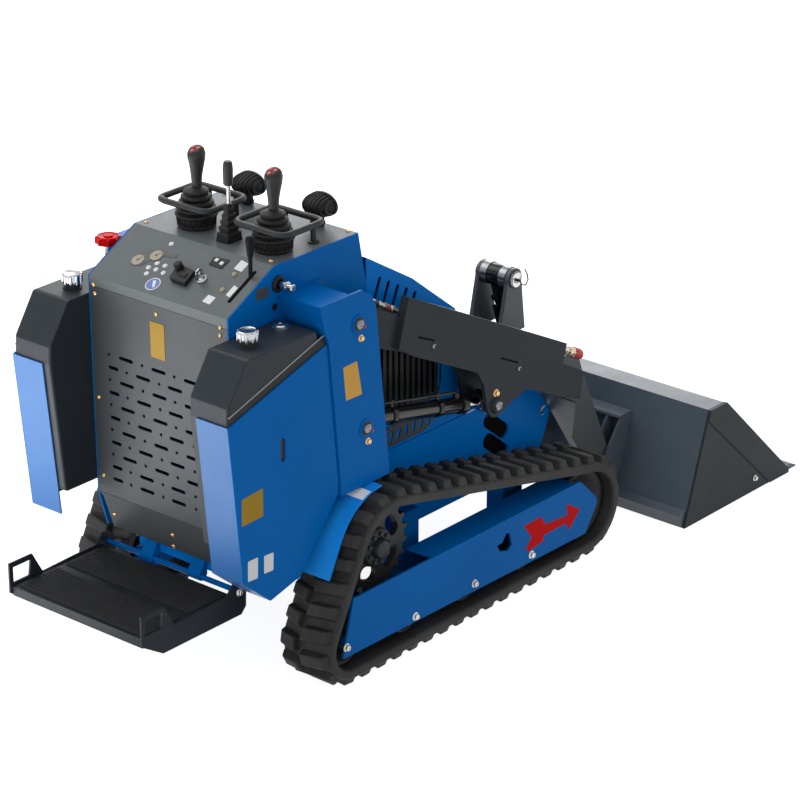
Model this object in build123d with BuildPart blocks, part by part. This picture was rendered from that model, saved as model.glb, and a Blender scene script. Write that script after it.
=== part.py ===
import os
from math import atan2, cos, degrees, radians, sin, tan

from build123d import *

os.makedirs("parts", exist_ok=True)

# Driving dimensions, mm. X forward to the bucket, Y left, Z up, ground at Z 0,
# origin under the middle of the machine's length and width.
SEAT_GAP = 0.3
RUN_GAP = 0.05
CONSOLE_HALF = 230.0
TOP_Z = 1057.0
SHEET = 4.0
PLATE = 8.0
CHASSIS_TOP = 446.0
SLOPE_Z = TOP_Z - 86.0
SEAM_Z = TOP_Z - 112.0
HOOD_HALF = CONSOLE_HALF - SHEET
WELL_HALF = CONSOLE_HALF - 100.0
TOWER_IN = CONSOLE_HALF
TOWER_OUT = TOWER_IN + 130.0
TANK_IN = CONSOLE_HALF + SEAT_GAP
TANK_OUT = TANK_IN + 121.4
ARM_IN = TOWER_IN + 32.0
ARM_OUT = TOWER_OUT - 10.0
ARM_WALL = 10.0
ARM_PIN = (-535.0, 900.0)
BARREL_PIN = (-509.0, 623.0)
ROD_PIN = (5.0, 513.0)
PIN_R = 20.0
LIFT_Y = (ARM_IN + ARM_OUT) / 2
TILT_TOP_PIN = (447.0, 652.0)
TILT_ROD_PIN = (600.0, 180.0)
BUCKET_PIN = (585.0, 110.0)
BUCKET_PIN_R = 16.0
TRACK_IN = CONSOLE_HALF + 45.0
TRACK_OUT = TRACK_IN + 158.0
WHEEL_IN = TRACK_IN + 30.0
WHEEL_W = 90.0
GUARD_IN = TRACK_OUT - 14.0
GUARD_T = 6.0
LUG_H = 20.0
BAND_T = 24.0
SPROCKET = (-477.0, 296.0, 147.0)
FRONT_IDLER = (305.0, 143.0, 123.0)
REAR_IDLER = (-635.0, 110.0, 90.0)
LUG_COUNT = 45
ROLLER_Z = 101.0
BUCKET_HALF = 518.0
PLATFORM_HALF = CONSOLE_HALF - 5.0
MAT_MARGIN = 15.0
PLATFORM_PIN = (-820.0, 258.0)

# Chassis: two side plates, motor wells, belly, front and rear plates
side_outline = [
    (-800, 420), (-800, CHASSIS_TOP), (180, CHASSIS_TOP), (284, CHASSIS_TOP),
    (309, 433), (375, 374), (388, 353), (364, 291), (340, 240), (300, 215),
    (-340, 215), (-340, 412),
]
slot_centres = [(156, 373), (155, 315)]
with BuildPart() as chassis_frame:
    with BuildSketch(Plane.XZ.offset(CONSOLE_HALF - PLATE)):
        Polygon(*side_outline, align=None)
        with Locations((358, 351)):
            Circle(14, mode=Mode.SUBTRACT)
        for slot_x, slot_z in slot_centres:
            with Locations(Location((slot_x, slot_z, 0), (0, 0, -39))):
                SlotOverall(122, 42, mode=Mode.SUBTRACT)
    extrude(amount=PLATE)
    with BuildSketch(Plane.XZ.offset(WELL_HALF - PLATE)):
        Polygon((-800, 404), (-800, 420), (-332, 420), (-332, 223), (-300, 223), (-300, 150), (-560, 150),
                (-640, 262), (-640, 404), align=None)
    extrude(amount=PLATE)
    with BuildSketch(Plane.XZ.offset(WELL_HALF)):
        Polygon((-800, 412), (-332, 412), (-332, 420), (-800, 420), align=None)
        Polygon((-340, 215), (-332, 215), (-332, 412), (-340, 412), align=None)
    extrude(amount=CONSOLE_HALF - PLATE - WELL_HALF)
    with BuildSketch(Plane.XZ):
        Polygon((-340, 215), (300, 215), (300, 223), (-340, 223), align=None)
        Polygon((300, 215), (308, 215), (308, 433), (300, 433), align=None)
        Polygon((-800, 412), (-792, 412), (-792, CHASSIS_TOP), (-800, CHASSIS_TOP), align=None)
    extrude(amount=CONSOLE_HALF - PLATE)
    with BuildSketch(Plane.XZ):
        Polygon((-640, 404), (-632, 404), (-632, 272), (-556, 158), (-300, 158), (-300, 150),
                (-560, 150), (-640, 262), align=None)
        Polygon((-800, 404), (-632, 404), (-632, 412), (-800, 412), align=None)
        Polygon((-800, 270), (-792, 270), (-792, 404), (-800, 404), align=None)
    extrude(amount=WELL_HALF)
    mirror(about=Plane.XZ)
chassis_frame.part.label = "chassis_frame"
export_step(chassis_frame.part, "parts/chassis_frame.step")

# Engine, one block on the belly plate
with BuildPart() as engine_block:
    with BuildSketch(Plane.XY.offset(223)):
        with Locations((-140, 0)):
            Rectangle(300, 280)
    extrude(amount=400)
engine_block.part.label = "engine_block"
export_step(engine_block.part, "parts/engine_block.step")

# Hood over the engine, open below and behind
with BuildPart() as hood:
    with BuildSketch(Plane.XZ):
        Polygon((-351.5, CHASSIS_TOP), (-351.5, 983), (-178, 879), (-10, 749), (40, 600),
                (41, CHASSIS_TOP), align=None)
    extrude(amount=HOOD_HALF, both=True)
    with BuildSketch(Plane.XZ):
        Polygon((-352, CHASSIS_TOP - 1), (-352, 979), (-180, 875), (-13.5, 746.5), (36, 599),
                (37, CHASSIS_TOP - 1), align=None)
    extrude(amount=HOOD_HALF - SHEET, both=True, mode=Mode.SUBTRACT)
hood.part.label = "hood"
export_step(hood.part, "parts/hood.step")

# Slotted grey grille strips low on the hood's sides
with BuildPart() as side_grilles:
    with BuildSketch(Plane.XZ.offset(HOOD_HALF)):
        Polygon((-300, CHASSIS_TOP + 4), (-60, CHASSIS_TOP + 4), (-60, 508), (-300, 508), align=None)
    extrude(amount=3)
    mirror(about=Plane.XZ)
side_grilles.part.label = "side_grilles"
export_step(side_grilles.part, "parts/side_grilles.step")

# Console: two side sheets and a front sheet between them
console_outline = [
    (-812, 300), (-840, 401), (-845, SLOPE_Z), (-683, TOP_Z), (-384, TOP_Z), (-352, TOP_Z - 157),
    (-352, CHASSIS_TOP), (-800, CHASSIS_TOP), (-800, 300),
]
with BuildPart() as console_sides:
    with BuildSketch(Plane.XZ.offset(CONSOLE_HALF - SHEET)):
        Polygon(*console_outline, align=None)
    extrude(amount=SHEET)
    mirror(about=Plane.XZ)
console_sides.part.label = "console_sides"
export_step(console_sides.part, "parts/console_sides.step")

with BuildPart() as console_front:
    with BuildSketch(Plane.XZ):
        Polygon((-387.1, TOP_Z - 5.3), (-383.1, TOP_Z - 5.3), (-352, TOP_Z - 157), (-352, CHASSIS_TOP),
                (-356, CHASSIS_TOP), (-356, TOP_Z - 157), align=None)
    extrude(amount=CONSOLE_HALF - SHEET - SEAT_GAP, both=True)
console_front.part.label = "console_front"
export_step(console_front.part, "parts/console_front.step")

# Rear panel between the side sheets
with BuildPart() as rear_panel:
    with BuildSketch(Plane.XZ):
        Polygon((-812, 300), (-840, 401), (-844.5, SEAM_Z), (-840.5, SEAM_Z), (-836, 401),
                (-808, 300), align=None)
    extrude(amount=CONSOLE_HALF - SHEET - SEAT_GAP, both=True)
rear_panel.part.label = "rear_panel"
export_step(rear_panel.part, "parts/rear_panel.step")

# Instrument panel: sloped face and flat top in one bent sheet
with BuildPart() as instrument_panel:
    with BuildSketch(Plane.XZ):
        Polygon((-844.5, SEAM_Z + SEAT_GAP), (-845, SLOPE_Z), (-683, TOP_Z), (-384, TOP_Z),
                (-383.2, TOP_Z - 5), (-682, TOP_Z - 4), (-841, SLOPE_Z - 2.5),
                (-840.5, SEAM_Z + SEAT_GAP), align=None)
    extrude(amount=CONSOLE_HALF - SHEET - SEAT_GAP, both=True)
instrument_panel.part.label = "instrument_panel"
export_step(instrument_panel.part, "parts/instrument_panel.step")

# Arm towers: boxes open to the front, bored for the arm and barrel pins
tower_outline = [
    (-670, 981), (-521, 981), (-489, 962), (-471, 929), (-424, 496), (-422, 474),
    (-599, 474), (-602, 517), (-639, 877), (-656, 921),
]
tower_hollow = [
    (-664, 975), (-560, 975), (-560, 990), (-400, 990), (-400, 480),
    (-592, 480), (-596, 517), (-633, 878), (-650, 922),
]
with BuildPart() as arm_towers:
    with BuildSketch(Plane.XZ.offset(TOWER_IN)):
        Polygon(*tower_outline, align=None)
    extrude(amount=TOWER_OUT - TOWER_IN)
    with BuildSketch(Plane.XZ.offset(TOWER_IN + PLATE)):
        Polygon(*tower_hollow, align=None)
    extrude(amount=TOWER_OUT - TOWER_IN - 2 * PLATE, mode=Mode.SUBTRACT)
    with BuildSketch(Plane.XZ.offset(TOWER_IN)):
        Polygon((-599, 474), (-596, 430), (-430, 430), (-422, 474), align=None)
    extrude(amount=PLATE)
    with BuildSketch(Plane.XZ.offset(TOWER_IN - 1)):
        with Locations(ARM_PIN, BARREL_PIN):
            Circle(PIN_R + RUN_GAP)
    extrude(amount=TOWER_OUT - TOWER_IN + 2, mode=Mode.SUBTRACT)
    mirror(about=Plane.XZ)
arm_towers.part.label = "arm_towers"
export_step(arm_towers.part, "parts/arm_towers.step")

# Tower pins with heads on the outer cheek
with BuildPart() as tower_pins:
    with BuildSketch(Plane.XZ.offset(TOWER_IN + SEAT_GAP)):
        with Locations(ARM_PIN, BARREL_PIN):
            Circle(PIN_R)
    extrude(amount=TOWER_OUT - TOWER_IN)
    with BuildSketch(Plane.XZ.offset(TOWER_OUT + SEAT_GAP)):
        with Locations(ARM_PIN, BARREL_PIN):
            Circle(PIN_R + 4)
    extrude(amount=9)
    mirror(about=Plane.XZ)
tower_pins.part.label = "tower_pins"
export_step(tower_pins.part, "parts/tower_pins.step")

# Fuel tank on the left, hydraulic tank on the right, same outline
tank_outline = [
    (-912, 922), (-979, 820), (-981.5, 776), (-946.4, 430), (-663, 430), (-672, 922),
]
with BuildPart() as hydraulic_tank:
    with BuildSketch(Plane.XZ.offset(TANK_IN)):
        Polygon(*tank_outline, align=None)
    extrude(amount=TANK_OUT - TANK_IN)
hydraulic_tank.part.label = "hydraulic_tank"
export_step(hydraulic_tank.part, "parts/hydraulic_tank.step")

with BuildPart() as fuel_tank:
    with BuildSketch(Plane.XZ.offset(-TANK_OUT)):
        Polygon(*tank_outline, align=None)
    extrude(amount=TANK_OUT - TANK_IN)
fuel_tank.part.label = "fuel_tank"
export_step(fuel_tank.part, "parts/fuel_tank.step")

# Filler caps on both tanks, and the oil cap on its neck at the left tank's front
TANK_TOP = 922.0
CAP_Y = TANK_IN + 57.7
with BuildPart() as tank_caps:
    with BuildSketch(Plane.XY.offset(TANK_TOP)):
        with Locations((-842, -CAP_Y), (-842, CAP_Y)):
            Circle(19)
        with Locations((-716, CAP_Y)):
            Circle(17)
    extrude(amount=12)
    with BuildSketch(Plane.XY.offset(TANK_TOP + 12)):
        with Locations((-842, -CAP_Y), (-842, CAP_Y)):
            Circle(25)
    extrude(amount=26)
    with BuildSketch(Plane.XY.offset(TANK_TOP + 12)):
        with Locations((-716, CAP_Y)):
            Circle(17)
    extrude(amount=66)
    with BuildSketch(Plane.XY.offset(TANK_TOP + 78)):
        with Locations((-716, CAP_Y)):
            Circle(31)
    extrude(amount=22)
    with BuildSketch(Plane.XY.offset(TANK_TOP)):
        with Locations((-708, -CAP_Y + 20)):
            Circle(22)
    extrude(amount=7)
tank_caps.part.label = "tank_caps"
export_step(tank_caps.part, "parts/tank_caps.step")

# Bent guard plates around the tanks, the left one cut off level below its tank
REAR_FLANGE = 100.0
LEFT_GUARD_LOW = 364.0
guard_side = [
    (-986, 776), (-642, 879), (-605, 517), (-605, 482), (-747, 312), (-851, 287), (-944, 364),
]
with BuildPart() as tank_guards:
    with BuildSketch(Plane.XZ.offset(TANK_OUT + SEAT_GAP)):
        Polygon(*guard_side, align=None)
    extrude(amount=SHEET)
    with BuildSketch(Plane.XZ.offset(TANK_OUT + SEAT_GAP - REAR_FLANGE)):
        Polygon((-986, 776), (-944, 364), (-940, 364), (-982, 776), align=None)
        Polygon((-944, 364), (-851, 287), (-849, 290), (-940, 366), align=None)
    extrude(amount=REAR_FLANGE)
    mirror(about=Plane.XZ)
    with BuildSketch(Plane.XZ.offset(-TANK_OUT - SEAT_GAP - SHEET)):
        Polygon((-990, 0), (-600, 0), (-600, LEFT_GUARD_LOW), (-990, LEFT_GUARD_LOW), align=None)
    extrude(amount=REAR_FLANGE + SHEET, mode=Mode.SUBTRACT)
tank_guards.part.label = "tank_guards"
export_step(tank_guards.part, "parts/tank_guards.step")

# Motor covers: blue drums around the drive motors, each with a fender bent over the track
sx, sz, sr = SPROCKET
FENDER_R = 176.0
FENDER_TOP = 92.0
FENDER_LEAN = 153.2
FENDER_LOW = 285.0
FENDER_OUT = 388.0
WEB_T = 8.0


def fender_line(radius):
    bend = (FENDER_LEAN - FENDER_TOP) / 12
    turns = [radians(FENDER_TOP + bend * step) for step in range(13)]
    line = [(sx + radius * cos(turn), sz + radius * sin(turn)) for turn in turns]
    end_x, end_z = line[-1]
    low_x = end_x - (end_z - FENDER_LOW) * tan(radians(180 - FENDER_LEAN))
    return line + [(low_x, FENDER_LOW)]


with BuildPart() as motor_covers:
    with BuildSketch(Plane.XZ.offset(WELL_HALF)):
        with Locations((sx, sz)):
            Circle(104)
        with Locations((sx, sz - 52)):
            Rectangle(208, 104)
    extrude(amount=TRACK_IN - 5 - WELL_HALF)
    with BuildSketch(Plane.XZ.offset(TRACK_IN - 5 - WEB_T)):
        Polygon(*fender_line(FENDER_R), *fender_line(FENDER_R - SHEET)[::-1], align=None)
    extrude(amount=FENDER_OUT - TRACK_IN + 5 + WEB_T)
    with BuildSketch(Plane.XZ.offset(TRACK_IN - 5 - WEB_T)):
        Polygon(*fender_line(FENDER_R - SHEET), (sx, sz), align=None)
    extrude(amount=WEB_T)
    mirror(about=Plane.XZ)
motor_covers.part.label = "motor_covers"
export_step(motor_covers.part, "parts/motor_covers.step")

# Drive motors between covers and sprockets
with BuildPart() as drive_motors:
    with BuildSketch(Plane.XZ.offset(TRACK_IN - 5)):
        with Locations((sx, sz)):
            Circle(60)
    extrude(amount=60)
    mirror(about=Plane.XZ)
drive_motors.part.label = "drive_motors"
export_step(drive_motors.part, "parts/drive_motors.step")

# Drive sprockets with hub
with BuildPart() as drive_sprockets:
    with BuildSketch(Plane.XZ.offset(TRACK_IN + 55)):
        with Locations((sx, sz)):
            Circle(sr - BAND_T - SEAT_GAP)
    extrude(amount=36)
    with BuildSketch(Plane.XZ.offset(TRACK_IN + 91)):
        with Locations((sx, sz)):
            Circle(48)
    extrude(amount=24)
    mirror(about=Plane.XZ)
drive_sprockets.part.label = "drive_sprockets"
export_step(drive_sprockets.part, "parts/drive_sprockets.step")

# Front and rear idlers
fx, fz, fr = FRONT_IDLER
with BuildPart() as front_idlers:
    with BuildSketch(Plane.XZ.offset(WHEEL_IN)):
        with Locations((fx, fz)):
            Circle(fr - BAND_T - SEAT_GAP)
    extrude(amount=WHEEL_W)
    mirror(about=Plane.XZ)
front_idlers.part.label = "front_idlers"
export_step(front_idlers.part, "parts/front_idlers.step")

rx, rz, rr = REAR_IDLER
with BuildPart() as rear_idlers:
    with BuildSketch(Plane.XZ.offset(WHEEL_IN)):
        with Locations((rx, rz)):
            Circle(rr - BAND_T - SEAT_GAP)
    extrude(amount=WHEEL_W)
    mirror(about=Plane.XZ)
rear_idlers.part.label = "rear_idlers"
export_step(rear_idlers.part, "parts/rear_idlers.step")

# Bottom rollers
roller_r = ROLLER_Z - LUG_H - BAND_T - SEAT_GAP
with BuildPart() as track_rollers:
    with BuildSketch(Plane.XZ.offset(WHEEL_IN)):
        with Locations((-405, ROLLER_Z), (-173, ROLLER_Z), (58, ROLLER_Z)):
            Circle(roller_r)
    extrude(amount=WHEEL_W)
    mirror(about=Plane.XZ)
track_rollers.part.label = "track_rollers"
export_step(track_rollers.part, "parts/track_rollers.step")

# Track frames: outer guard plate with its roof flange, low inner beam, blocks between them
# and arms to the chassis
guard_outline = [
    (-670, 84), (-632, 232), (267, 232), (334, 167), (341, 147), (294, 74),
]
sight_hole = [
    (-79, 172), (-57, 174), (-42, 194), (-26, 190), (-17, 152), (-34, 142), (-66, 152),
]
BEAM_IN = TRACK_IN + 9.0
BEAM_T = 8.0
ROOF_W = 80.0
axle_spots = [(fx, fz), (rx, rz), (-405, ROLLER_Z), (-173, ROLLER_Z), (58, ROLLER_Z)]
with BuildPart() as track_frames:
    with BuildSketch(Plane.XZ.offset(GUARD_IN)):
        Polygon(*guard_outline, align=None)
        Polygon(*sight_hole, align=None, mode=Mode.SUBTRACT)
    extrude(amount=GUARD_T)
    with BuildSketch(Plane.XZ.offset(BEAM_IN)):
        Polygon((-670, 84), (-655, 160), (120, 160), (190, 190), (300, 190), (334, 167), (341, 147),
                (294, 74), align=None)
    extrude(amount=BEAM_T)
    with BuildSketch(Plane.XZ.offset(GUARD_IN - ROOF_W)):
        Polygon((-330, 226), (-330, 232), (250, 232), (250, 226), align=None)
    extrude(amount=ROOF_W)
    with BuildSketch(Plane.XZ.offset(BEAM_IN + BEAM_T)):
        Polygon((130, 120), (190, 120), (190, 180), (130, 150), align=None)
        Polygon((-550, 96), (-480, 96), (-480, 150), (-550, 150), align=None)
    extrude(amount=GUARD_IN - BEAM_IN - BEAM_T)
    with BuildSketch(Plane.XZ.offset(CONSOLE_HALF)):
        Polygon((-300, 110), (-220, 110), (-220, 290), (-300, 290), align=None)
        Polygon((120, 110), (200, 110), (200, 258), (120, 258), align=None)
    extrude(amount=BEAM_IN - CONSOLE_HALF)
    with BuildSketch(Plane.XZ.offset(BEAM_IN + BEAM_T)):
        with Locations(*axle_spots):
            Circle(14)
    extrude(amount=WHEEL_IN - SEAT_GAP - BEAM_IN - BEAM_T)
    with BuildSketch(Plane.XZ.offset(WHEEL_IN + WHEEL_W + SEAT_GAP)):
        with Locations(*axle_spots):
            Circle(14)
    extrude(amount=GUARD_IN - WHEEL_IN - WHEEL_W - SEAT_GAP)
    mirror(about=Plane.XZ)
track_frames.part.label = "track_frames"
export_step(track_frames.part, "parts/track_frames.step")

# Tracks: one closed band each, with lugs in its outline
wheels = [SPROCKET, FRONT_IDLER, REAR_IDLER]
with BuildSketch(Plane.XZ) as band_outer:
    for wheel_x, wheel_z, wheel_r in wheels:
        with Locations((wheel_x, wheel_z)):
            Circle(wheel_r)
    make_hull()
with BuildSketch(Plane.XZ) as band_inner:
    for wheel_x, wheel_z, wheel_r in wheels:
        with Locations((wheel_x, wheel_z)):
            Circle(wheel_r - BAND_T)
    make_hull()
loop = band_outer.sketch.faces()[0].outer_wire()
with BuildPart() as track_right:
    with BuildSketch(Plane.XZ.offset(TRACK_IN)):
        add(band_outer.sketch_local)
        add(band_inner.sketch_local, mode=Mode.SUBTRACT)
        for lug in range(LUG_COUNT):
            spot = loop.position_at(lug / LUG_COUNT)
            along = loop.tangent_at(lug / LUG_COUNT)
            turn = degrees(atan2(along.Z, along.X))
            out_x = spot.X + sin(radians(turn)) * (LUG_H - 2) / 2
            out_z = spot.Z - cos(radians(turn)) * (LUG_H - 2) / 2
            with Locations(Location((out_x, out_z, 0), (0, 0, turn))):
                Rectangle(26, LUG_H + 2)
    extrude(amount=TRACK_OUT - TRACK_IN)
track_right.part.label = "track_right"
export_step(track_right.part, "parts/track_right.step")

with BuildPart() as track_left:
    add(track_right.part.mirror(Plane.XZ))
track_left.part.label = "track_left"
export_step(track_left.part, "parts/track_left.step")

# Lift arms: box beam with a tail plate and an open ear for the lift cylinder, and a hub in the tower
beam_outline = [
    (-215, 846), (295, 592), (280, 541), (371, 490), (356, 416), (270, 450), (130, 518),
    (60, 500), (33, 488), (16, 482), (0, 480), (-16, 488), (-30, 510), (-45, 584), (-70, 624), (-101, 640),
    (-250, 713),
]
beam_hollow = [
    (-207, 833), (281, 588), (268, 539), (360, 484), (349, 430), (275, 459), (132, 528), (130, 470),
    (-70, 440), (-110, 655), (-240, 719),
]
tail_outline = [(-337, 907), (-200, 838), (-235, 706), (-314, 744), (-375, 781)]
TAIL_W = 24.0
with BuildPart() as lift_arm_right:
    with BuildSketch(Plane.XZ.offset(ARM_IN)):
        Polygon(*beam_outline, align=None)
    extrude(amount=ARM_OUT - ARM_IN)
    with BuildSketch(Plane.XZ.offset(ARM_IN + ARM_WALL)):
        Polygon(*beam_hollow, align=None)
    extrude(amount=ARM_OUT - ARM_IN - 2 * ARM_WALL, mode=Mode.SUBTRACT)
    with BuildSketch(Plane.XZ.offset(ARM_OUT - TAIL_W)):
        Polygon(*tail_outline, align=None)
    extrude(amount=TAIL_W)
    with BuildSketch(Plane.XZ.offset(ARM_IN + PLATE)):
        Polygon((-511, 946), (-337, 850), (-212, 788), (-240, 716), (-345, 762), (-559, 853), align=None)
        with Locations(ARM_PIN):
            Circle(52)
    extrude(amount=65)
    with BuildSketch(Plane.XZ.offset(TOWER_IN + 10)):
        with Locations(ARM_PIN):
            Circle(40)
    extrude(amount=TOWER_OUT - TOWER_IN - 20)
    with BuildSketch(Plane.XZ.offset(TOWER_IN)):
        with Locations(ARM_PIN):
            Circle(PIN_R + RUN_GAP)
    extrude(amount=TOWER_OUT - TOWER_IN, mode=Mode.SUBTRACT)
    with BuildSketch(Plane.XZ.offset(ARM_OUT)):
        with Locations(ROD_PIN):
            Circle(17)
    extrude(amount=8)
lift_arm_right.part.label = "lift_arm_right"
export_step(lift_arm_right.part, "parts/lift_arm_right.step")

with BuildPart() as lift_arm_left:
    add(lift_arm_right.part.mirror(Plane.XZ))
lift_arm_left.part.label = "lift_arm_left"
export_step(lift_arm_left.part, "parts/lift_arm_left.step")

# Cross member between the arms: box, legs down to the bucket pins, clevis for the tilt cylinder
bx, bz = BUCKET_PIN
px, pz = TILT_TOP_PIN
LEG_W = 26.0
GUSSET_T = 5.0
GUSSET_IN = Vector(332, -ARM_IN + 6, 423)
GUSSET_OUT = Vector(345, -ARM_OUT + 2, 411)
GUSSET_LOW = Vector(452, -ARM_IN + 6, 245)
gusset_across = GUSSET_OUT - GUSSET_IN
gusset_down = GUSSET_LOW - GUSSET_IN
gusset_plane = Plane(origin=GUSSET_IN, x_dir=gusset_across, z_dir=gusset_across.cross(gusset_down))
gusset_outline = [gusset_plane.to_local_coords(v) for v in (GUSSET_IN, GUSSET_OUT, GUSSET_LOW)]
gusset_outline = [(v.X, v.Y) for v in gusset_outline]
with BuildPart() as arm_cross_member:
    with BuildSketch(Plane.XZ):
        Polygon((345, 430), (455, 430), (455, 500), (345, 500), align=None)
        Polygon((353, 438), (447, 438), (447, 492), (353, 492), align=None, mode=Mode.SUBTRACT)
    extrude(amount=ARM_IN - LEG_W)
    with BuildSketch(Plane.XZ.offset(ARM_IN - LEG_W)):
        Polygon((322, 432), (345, 500), (455, 500), (478, 440), (620, 128), (551, 89), align=None)
        with Locations((bx, bz)):
            Circle(38)
            Circle(BUCKET_PIN_R + RUN_GAP, mode=Mode.SUBTRACT)
    extrude(amount=LEG_W)
    with BuildSketch(gusset_plane):
        Polygon(*gusset_outline, align=None)
    extrude(amount=-GUSSET_T)
    with BuildSketch(Plane.XZ.offset(44)):
        Polygon((385, 500), (421, 664), (473, 664), (493, 500), align=None)
        with Locations((px, pz)):
            Circle(30)
            Circle(PIN_R + RUN_GAP, mode=Mode.SUBTRACT)
    extrude(amount=12)
    mirror(about=Plane.XZ)
arm_cross_member.part.label = "arm_cross_member"
export_step(arm_cross_member.part, "parts/arm_cross_member.step")

# Pin through the clevis and the tilt barrel's eye
with BuildPart() as tilt_pin:
    with BuildSketch(Plane.XZ.offset(-62)):
        with Locations((px, pz)):
            Circle(PIN_R)
    extrude(amount=124)
tilt_pin.part.label = "tilt_pin"
export_step(tilt_pin.part, "parts/tilt_pin.step")

# Lift cylinders: barrels hinge in the towers, rods slide to the arm's ears
lift_dx = ROD_PIN[0] - BARREL_PIN[0]
lift_dz = ROD_PIN[1] - BARREL_PIN[1]
lift_len = (lift_dx ** 2 + lift_dz ** 2) ** 0.5
lift_axis = Plane(
    origin=(BARREL_PIN[0], -LIFT_Y, BARREL_PIN[1]), x_dir=(0, 1, 0), z_dir=(lift_dx, 0, lift_dz)
)
LIFT_BARREL_R = 21.0
LIFT_ROD_R = 12.0
LIFT_BARREL_END = 440.0
with BuildPart() as lift_barrels:
    with BuildSketch(lift_axis.offset(20)):
        Circle(LIFT_BARREL_R)
    extrude(amount=LIFT_BARREL_END - 20)
    with BuildSketch(Plane.XZ.offset(LIFT_Y - 24)):
        with Locations(BARREL_PIN):
            Circle(30)
    extrude(amount=48)
    with BuildSketch(lift_axis.offset(60)):
        Circle(LIFT_ROD_R + RUN_GAP)
    extrude(amount=LIFT_BARREL_END, mode=Mode.SUBTRACT)
    with BuildSketch(Plane.XZ.offset(LIFT_Y - 30)):
        with Locations(BARREL_PIN):
            Circle(PIN_R + RUN_GAP)
    extrude(amount=60, mode=Mode.SUBTRACT)
    mirror(about=Plane.XZ)
lift_barrels.part.label = "lift_barrels"
export_step(lift_barrels.part, "parts/lift_barrels.step")

with BuildPart() as lift_rods:
    with BuildSketch(lift_axis.offset(70)):
        Circle(LIFT_ROD_R)
    extrude(amount=lift_len - 70)
    with BuildSketch(Plane.XZ.offset(LIFT_Y - 22)):
        with Locations(ROD_PIN):
            Circle(27)
    extrude(amount=44)
    mirror(about=Plane.XZ)
lift_rods.part.label = "lift_rods"
export_step(lift_rods.part, "parts/lift_rods.step")

# Tilt cylinder: barrel hangs in the clevis, rod reaches the quick attach
tilt_dx = TILT_ROD_PIN[0] - px
tilt_dz = TILT_ROD_PIN[1] - pz
tilt_len = (tilt_dx ** 2 + tilt_dz ** 2) ** 0.5
tilt_axis = Plane(origin=(px, 0, pz), x_dir=(0, 1, 0), z_dir=(tilt_dx, 0, tilt_dz))
TILT_BARREL_R = 26.0
TILT_ROD_R = 14.0
TILT_BARREL_END = 350.0
with BuildPart() as tilt_barrel:
    with BuildSketch(tilt_axis.offset(20)):
        Circle(TILT_BARREL_R)
    extrude(amount=TILT_BARREL_END - 20)
    with BuildSketch(Plane.XZ.offset(-42)):
        with Locations((px, pz)):
            Circle(29)
    extrude(amount=84)
    with BuildSketch(tilt_axis.offset(60)):
        Circle(TILT_ROD_R + RUN_GAP)
    extrude(amount=TILT_BARREL_END, mode=Mode.SUBTRACT)
    with BuildSketch(Plane.XZ.offset(-50)):
        with Locations((px, pz)):
            Circle(PIN_R + RUN_GAP)
    extrude(amount=100, mode=Mode.SUBTRACT)
tilt_barrel.part.label = "tilt_barrel"
export_step(tilt_barrel.part, "parts/tilt_barrel.step")

with BuildPart() as tilt_rod:
    with BuildSketch(tilt_axis.offset(90)):
        Circle(TILT_ROD_R)
    extrude(amount=tilt_len - 90)
    with BuildSketch(Plane.XZ.offset(-22)):
        with Locations(TILT_ROD_PIN):
            Circle(26)
    extrude(amount=44)
tilt_rod.part.label = "tilt_rod"
export_step(tilt_rod.part, "parts/tilt_rod.step")

# Quick attach: leaning plate with a top flange, ribs around the arm legs and pins through them
with BuildPart() as quick_attach:
    with BuildSketch(Plane.XZ):
        Polygon((617.8, 50), (627.8, 50), (691.8, 246), (691.8, 254), (640, 254), (640, 246),
                (681.8, 246), align=None)
    extrude(amount=ARM_IN + 12)
    with BuildSketch(Plane.XZ.offset(ARM_IN - 38)):
        Polygon((617.8, 50), (681.8, 246), (645, 246), (547, 118), (560, 70), align=None)
    extrude(amount=7)
    with BuildSketch(Plane.XZ.offset(ARM_IN + 5)):
        Polygon((617.8, 50), (681.8, 246), (645, 246), (547, 118), (560, 70), align=None)
    extrude(amount=7)
    with BuildSketch(Plane.XZ.offset(ARM_IN - 40)):
        with Locations((bx, bz)):
            Circle(BUCKET_PIN_R)
    extrude(amount=58)
    with BuildSketch(Plane.XZ.offset(28)):
        Polygon((681.8, 246), (640, 246), (585, 208), (572, 180), (585, 154), (610, 148), (649, 145.5), align=None)
    extrude(amount=10)
    mirror(about=Plane.XZ)
quick_attach.part.label = "quick_attach"
export_step(quick_attach.part, "parts/quick_attach.step")

# Bucket: back and floor in one bent sheet, two side plates and a cutting edge
with BuildPart() as bucket_shell:
    with BuildSketch(Plane.XZ):
        Polygon((612.3, 0), (596, 40), (627, 46), (706.5, 289), (714, 313), (786, 313), (786, 307),
                (719, 307), (712.5, 287), (640, 62), (690, 12), (1040, 12), (1040, 0), align=None)
    extrude(amount=BUCKET_HALF - PLATE - SEAT_GAP, both=True)
bucket_shell.part.label = "bucket_shell"
export_step(bucket_shell.part, "parts/bucket_shell.step")

with BuildPart() as bucket_sides:
    with BuildSketch(Plane.XZ.offset(BUCKET_HALF - PLATE)):
        Polygon((612, 0), (706, 289), (713, 313), (789, 313), (1103, 12), (1103, 0), align=None)
    extrude(amount=PLATE)
    mirror(about=Plane.XZ)
bucket_sides.part.label = "bucket_sides"
export_step(bucket_sides.part, "parts/bucket_sides.step")

with BuildPart() as cutting_edge:
    with BuildSketch(Plane.XZ):
        Polygon((1040.3, 0), (1155, 0), (1155, 3), (1130, 14), (1040.3, 14), align=None)
    extrude(amount=BUCKET_HALF - PLATE - SEAT_GAP, both=True)
cutting_edge.part.label = "cutting_edge"
export_step(cutting_edge.part, "parts/cutting_edge.step")

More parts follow.
